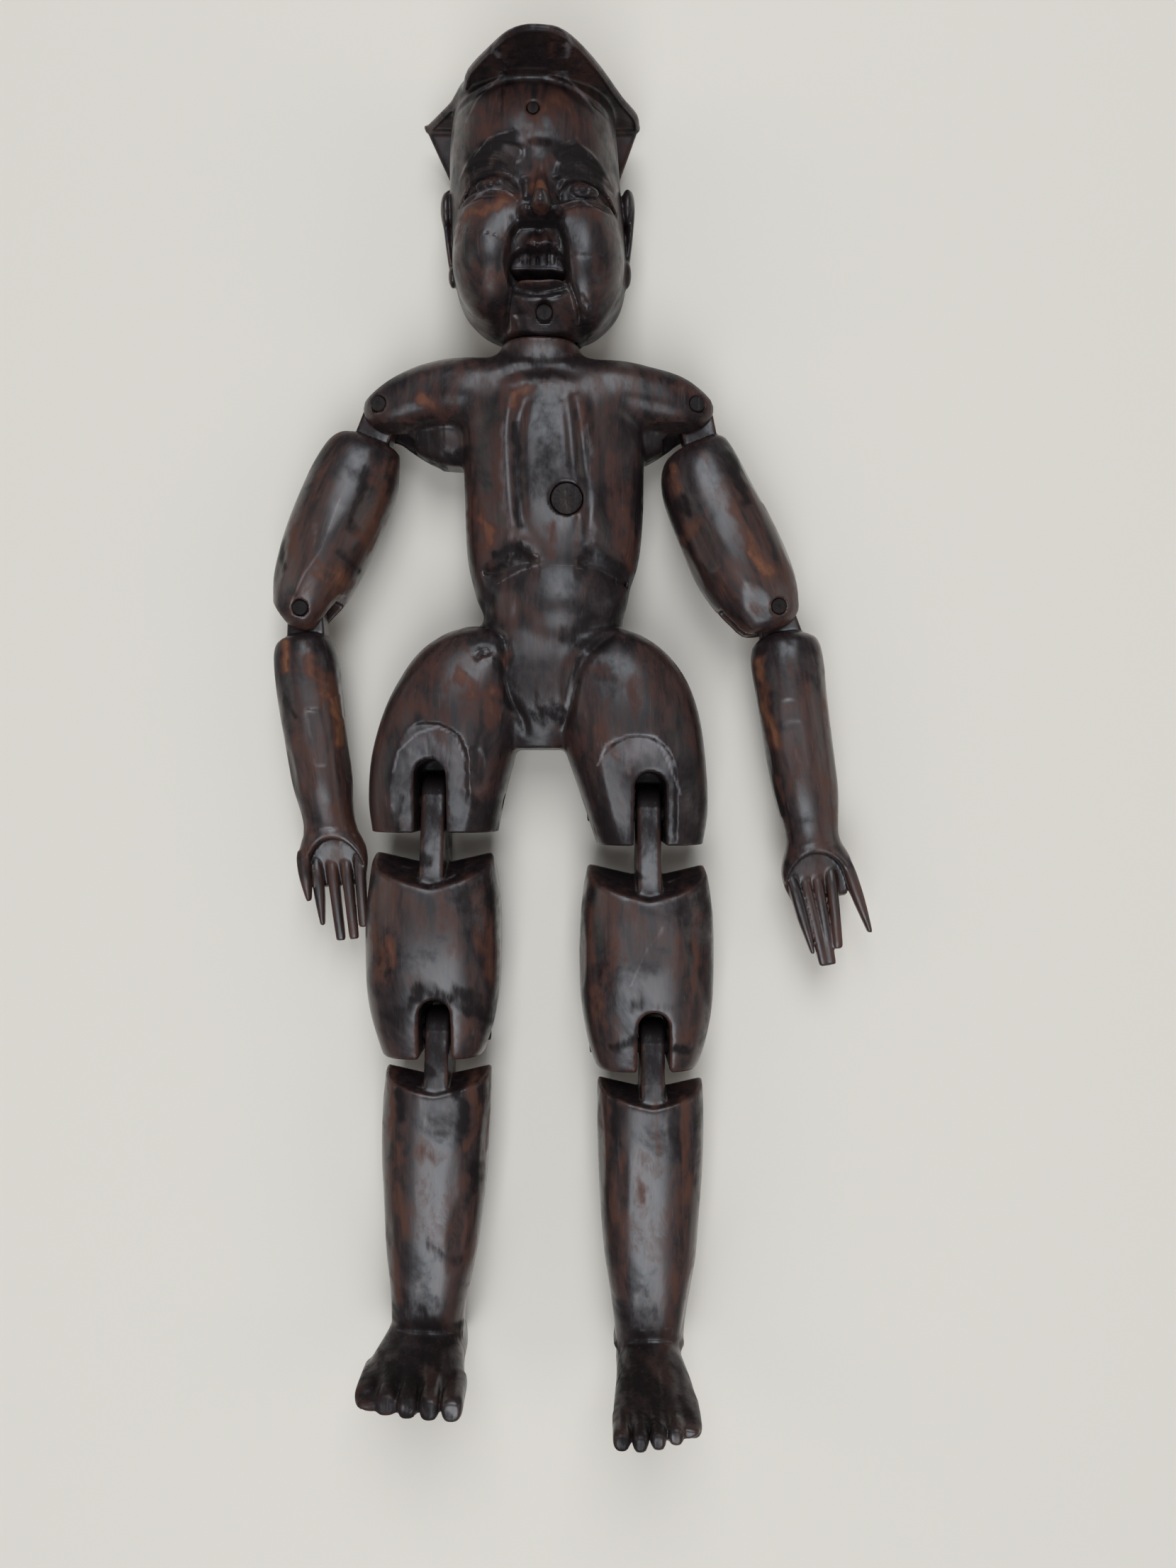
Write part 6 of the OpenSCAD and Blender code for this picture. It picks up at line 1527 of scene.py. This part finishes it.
def worn_stain_group():
    """Dark stain over red-brown wood: worn through in places, dark with soot and painted shade, darker in
    hollows, and pale where it is rubbed and where highlights and sheen are painted.
    """
    group, start, end = new_group("worn_stain", [(label, COLOUR, None) for label in TONES] + [
        ("Wear", FLOAT, 1.0), ("Roughness", FLOAT, 0.4), ("Gloss", FLOAT, 0.8)],
        [("Color", COLOUR), ("Roughness", FLOAT), ("Gloss", FLOAT), ("Height", FLOAT)])

    def calc(operation, first, second, x, y, clamp=False):
        return maths(group, operation, first, second, (x, y), clamp)

    def step(source, low, high, x, y):
        return ramp(group, source, low, high, (x, y))
    marks = {}
    for n, name in enumerate(("grain", "edge", "hollow", "red", "soot", "pale")):
        made = node(group, "ShaderNodeAttribute", (-1900, 400 - 200 * n), attribute_name=name)
        marks[name] = made.outputs["Vector" if name == "grain" else "Fac"]
    grain = node(group, "ShaderNodeGroup", (-1650, 300), node_tree=GRAIN)
    feed(group, grain.inputs["Grain"], marks["grain"])
    scratches = node(group, "ShaderNodeGroup", (-1650, -300), node_tree=SCRATCHES)
    feed(group, scratches.inputs["Place"], marks["grain"])
    lines = scratches.outputs["Lines"]
    streaks, pores, clouds, mottle = (grain.outputs[name]
                                      for name in ("Streaks", "Pores", "Clouds", "Mottle"))
    base, cool, worn, bright, dark, pale_tone = (start.outputs[label] for label in TONES)

    def broken(name, spread, low, high, x, y):
        """A painted mark whose edge and middle are broken up by the grain."""
        uneven = calc("SUBTRACT", calc("ADD", mottle, streaks, x, y), 1.0, x, y)
        loose = calc("ADD", marks[name], calc("MULTIPLY", uneven, spread, x + 160, y), x + 320, y)
        return step(loose, low, high, x + 480, y)

    # Where the stain is worn to the red wood, where soot and painted shade darken it, and where rubbing and
    # painted highlights make it pale
    faint = calc("MULTIPLY", step(clouds, 0.48, 0.62, -1300, 700), step(mottle, 0.42, 0.60, -1300, 550),
                 -1100, 650)
    rubbed = calc("MULTIPLY", step(marks["edge"], 0.2, 0.8, -1300, 400),
                  step(mottle, 0.40, 0.60, -1300, 250), -1100, 350)
    free = calc("MULTIPLY", calc("MAXIMUM", faint, rubbed, -950, 500), 0.6, -800, 500)
    red = calc("MAXIMUM", free, broken("red", 1.7, 0.15, 1.15, -1300, 100), -650, 400)
    red = calc("MULTIPLY", red, start.outputs["Wear"], -500, 400, clamp=True)
    # Soot and painted shade, and below it pale rubbing with painted highlights and sheen
    soot = broken("soot", 1.2, 0.2, 1.0, -1300, -100)
    pale = calc("MULTIPLY", broken("pale", 1.2, 0.25, 1.1, -1300, -300), 0.6, -650, -300)
    hollow = calc("MULTIPLY", marks["hollow"], 0.75, -300, -50)
    scratched = calc("MULTIPLY", lines, 0.2, -300, -350)

    # Colour, from the stain up
    tone = mix(group, step(clouds, 0.42, 0.58, -900, 900), cool, base, (-700, 850))
    tone = mix(group, step(streaks, 0.62, 0.32, -700, 1050), tone, dark, (-500, 850))
    warm = step(calc("MULTIPLY", marks["red"], mottle, -700, 700), 0.42, 0.75, -550, 700)
    rust = mix(group, warm, worn, bright, (-350, 650))
    colour = mix(group, red, tone, rust, (-150, 600))
    # Soot, painted shade and hollows turn it dark
    colour = mix(group, calc("MAXIMUM", soot, hollow, -100, 0), colour, dark, (50, 500))
    # Rubbing, scratches and painted highlights and sheen turn it pale
    colour = mix(group, calc("MAXIMUM", pale, scratched, 0, -300), colour, pale_tone, (250, 400))

    # Roughness, duller where soot or painted shade darkens it and where it is worn
    rough = calc("MULTIPLY", calc("SUBTRACT", mottle, 0.5, 0, -500), 0.35, 150, -500)
    rough = calc("ADD", rough, start.outputs["Roughness"], 300, -500)
    rough = calc("ADD", rough, calc("MULTIPLY", soot, 0.22, 150, -650), 450, -500)
    rough = calc("ADD", rough, calc("MULTIPLY", red, 0.24, 300, -650), 600, -500)

    # Wax, left where the wood is neither worn nor darkened by soot or painted shade
    matt = calc("MAXIMUM", soot, calc("MULTIPLY", red, 0.9, 150, -1200), 300, -1200)
    gloss = calc("MULTIPLY", calc("SUBTRACT", 1.0, matt, 450, -1200), step(clouds, 0.34, 0.54, 300, -1350),
                 600, -1200, clamp=True)
    gloss = calc("MULTIPLY", gloss, start.outputs["Gloss"], 750, -1200, clamp=True)

    # Height of the grain, with the scratches cut in
    height = calc("ADD", calc("MULTIPLY", streaks, 0.6, 0, -800), calc("MULTIPLY", pores, 0.4, 0, -950),
                  200, -850)
    height = calc("ADD", height, calc("MULTIPLY", mottle, 0.8, 200, -1000), 350, -850)
    height = calc("SUBTRACT", height, lines, 500, -850)
    for label, value in (("Color", colour), ("Roughness", rough), ("Gloss", gloss), ("Height", height)):
        feed(group, end.inputs[label], value)
    return group


STAIN = worn_stain_group()


def stained_wood(name, tones, rough, wear=1.0, gloss=0.8):
    """A worn and waxed stain with its own tones; the wax is a coat."""
    material = bpy.data.materials.new(name)
    material.use_nodes = True
    t = material.node_tree
    stain = node(t, "ShaderNodeGroup", (-500, 100), node_tree=STAIN)
    for label, tone in zip(TONES, tones):
        stain.inputs[label].default_value = tone + (1,)
    for label, value in (("Wear", wear), ("Roughness", rough), ("Gloss", gloss)):
        stain.inputs[label].default_value = value
    bump = node(t, "ShaderNodeBump", (-250, -250), [("Height", stain.outputs["Height"])], Strength=0.3,
                Distance=0.0005)
    shader = t.nodes["Principled BSDF"]
    for label, source in (("Base Color", stain.outputs["Color"]), ("Roughness", stain.outputs["Roughness"]),
                          ("Coat Weight", stain.outputs["Gloss"]), ("Normal", bump.outputs[0])):
        t.links.new(source, shader.inputs[label])
    shader.inputs["Specular IOR Level"].default_value = 0.14
    shader.inputs["Coat Roughness"].default_value = 0.31
    return material


# Base, cool, worn, bright, dark and pale tones
EBONY = stained_wood("waxed_ebony_stain", (
    (0.038, 0.0185, 0.016), (0.018, 0.012, 0.013), (0.064, 0.027, 0.020),
    (0.130, 0.050, 0.028), (0.009, 0.006, 0.006), (0.20, 0.18, 0.185)), 0.40)
LIMBS = stained_wood("worn_brown_stain", (
    (0.045, 0.021, 0.0165), (0.021, 0.013, 0.014), (0.080, 0.033, 0.022),
    (0.165, 0.068, 0.035), (0.010, 0.0065, 0.0065), (0.22, 0.19, 0.185)), 0.38, 1.0, 1.1)
PEGS = stained_wood("dark_peg_wood", (
    (0.022, 0.015, 0.013), (0.018, 0.013, 0.013), (0.05, 0.028, 0.020),
    (0.12, 0.07, 0.045), (0.008, 0.006, 0.006), (0.16, 0.14, 0.13)), 0.55, 0.5, 0.0)


# Assembly

def finish_piece(piece, material, body, node_name):
    """Gives a piece its finish, sets it on the body that it rides on and hides the solid that it stands
    for.
    """
    piece.data.materials.append(material)
    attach(piece, body)
    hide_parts(node_name)


LIMB_PIECES = ((carve_upper_arm, "upper_arm", "arm"), (carve_forearm, "forearm", "fore"),
               (carve_thigh_block, "thigh_block", "thigh"), (carve_lower_leg, "lower_leg", "shank"))
finish_piece(carve_torso(), EBONY, "torso_body", "torso")
finish_piece(carve_head(), EBONY, "head_body", "head")
for side in SIDES:
    for carve, what, body in LIMB_PIECES:
        finish_piece(carve(side), LIMBS, f"{side}_{body}", f"{side}_{what}")

# Each peg: its axis, the body it rides on, whether it is a peg or a plug, how domed its ends are and how
# rough
PEG_PLACES = [("neck_pin", 2, "head_body", "peg", 0.1, 0.1)]
for side in SIDES:
    for joint, axis, body in (("shoulder", 2, "torso_body"), ("elbow", 2, side + "_arm"),
                              ("hip", 0, "torso_body"), ("knee", 0, side + "_thigh")):
        rough = 0.35 if (side, joint) == ("left", "shoulder") else 0.1
        PEG_PLACES.append((f"{side}_{joint}_pin", axis, body, "peg", 0.5, rough))
PEG_PLACES += [("belly_plug", 2, "torso_body", "plug", 0.3, 0.5),
               ("forehead_plug", 2, "head_body", "plug", 0.2, 0)]
for number, (name, axis, body, slot, dome, rough) in enumerate(PEG_PLACES):
    finish_piece(turned_peg(name, axis, dome, rough, seed=40 + number), PEGS, body, name)


# Floor, light and camera, in metres

def pale_floor():
    """A plain floor just under the doll's back."""
    bpy.ops.mesh.primitive_plane_add(size=6, location=(0, 0, -0.0002))
    floor = bpy.context.object
    floor.name = "studio_floor"
    finish = bpy.data.materials.new("pale_floor")
    finish.use_nodes = True
    shader = finish.node_tree.nodes["Principled BSDF"]
    shader.inputs["Base Color"].default_value = (0.72, 0.655, 0.575, 1)
    shader.inputs["Roughness"].default_value = 0.9
    floor.data.materials.append(finish)


def soft_room():
    """A dim even light from all sides."""
    world = bpy.data.worlds.new("soft_room")
    bpy.context.scene.world = world
    world.use_nodes = True
    background = world.node_tree.nodes["Background"]
    background.inputs["Color"].default_value = (0.90, 0.94, 1.0, 1)
    background.inputs["Strength"].default_value = 0.17


def soft_lamp(name, place, size, watts, colour):
    """A wide lamp that points at the doll's middle."""
    lamp = bpy.data.lights.new(name, "AREA")
    lamp.shape = "RECTANGLE"
    lamp.size, lamp.size_y = size
    lamp.energy = watts
    lamp.color = colour
    holder = shown(name, lamp)
    holder.location = place
    holder.rotation_euler = (Vector((0, -0.1, 0)) - Vector(place)).to_track_quat("-Z", "Y").to_euler()


# The photograph's width and the lens's focal length, in its pixels
PHOTO_W, FOCAL = 1659, 1661
SENSOR_W = 36.0
DAYLIGHT, WARM = (0.86, 0.93, 1.0), (1.0, 0.97, 0.93)

pale_floor()
soft_room()
soft_lamp("head_window", (0.05, 0.80, 1.50), (0.85, 1.2), 17, DAYLIGHT)
soft_lamp("foot_window", (-0.05, -0.98, 1.45), (0.85, 1.1), 16, DAYLIGHT)
soft_lamp("left_fill", (-1.5, 0.1, 0.9), (0.8, 1.2), 2.6, WARM)
soft_lamp("right_fill", (1.5, -0.1, 0.9), (0.8, 1.2), 2.6, WARM)

camera = bpy.data.cameras.new("camera")
camera.sensor_fit = "HORIZONTAL"
camera.sensor_width = SENSOR_W
camera.lens = SENSOR_W * FOCAL / PHOTO_W
camera.clip_start = 0.01
view = shown("camera", camera)
view.location = (0.0197, -0.104, 0.498)
bpy.context.scene.camera = view
bpy.context.scene.view_settings.view_transform = "Standard"
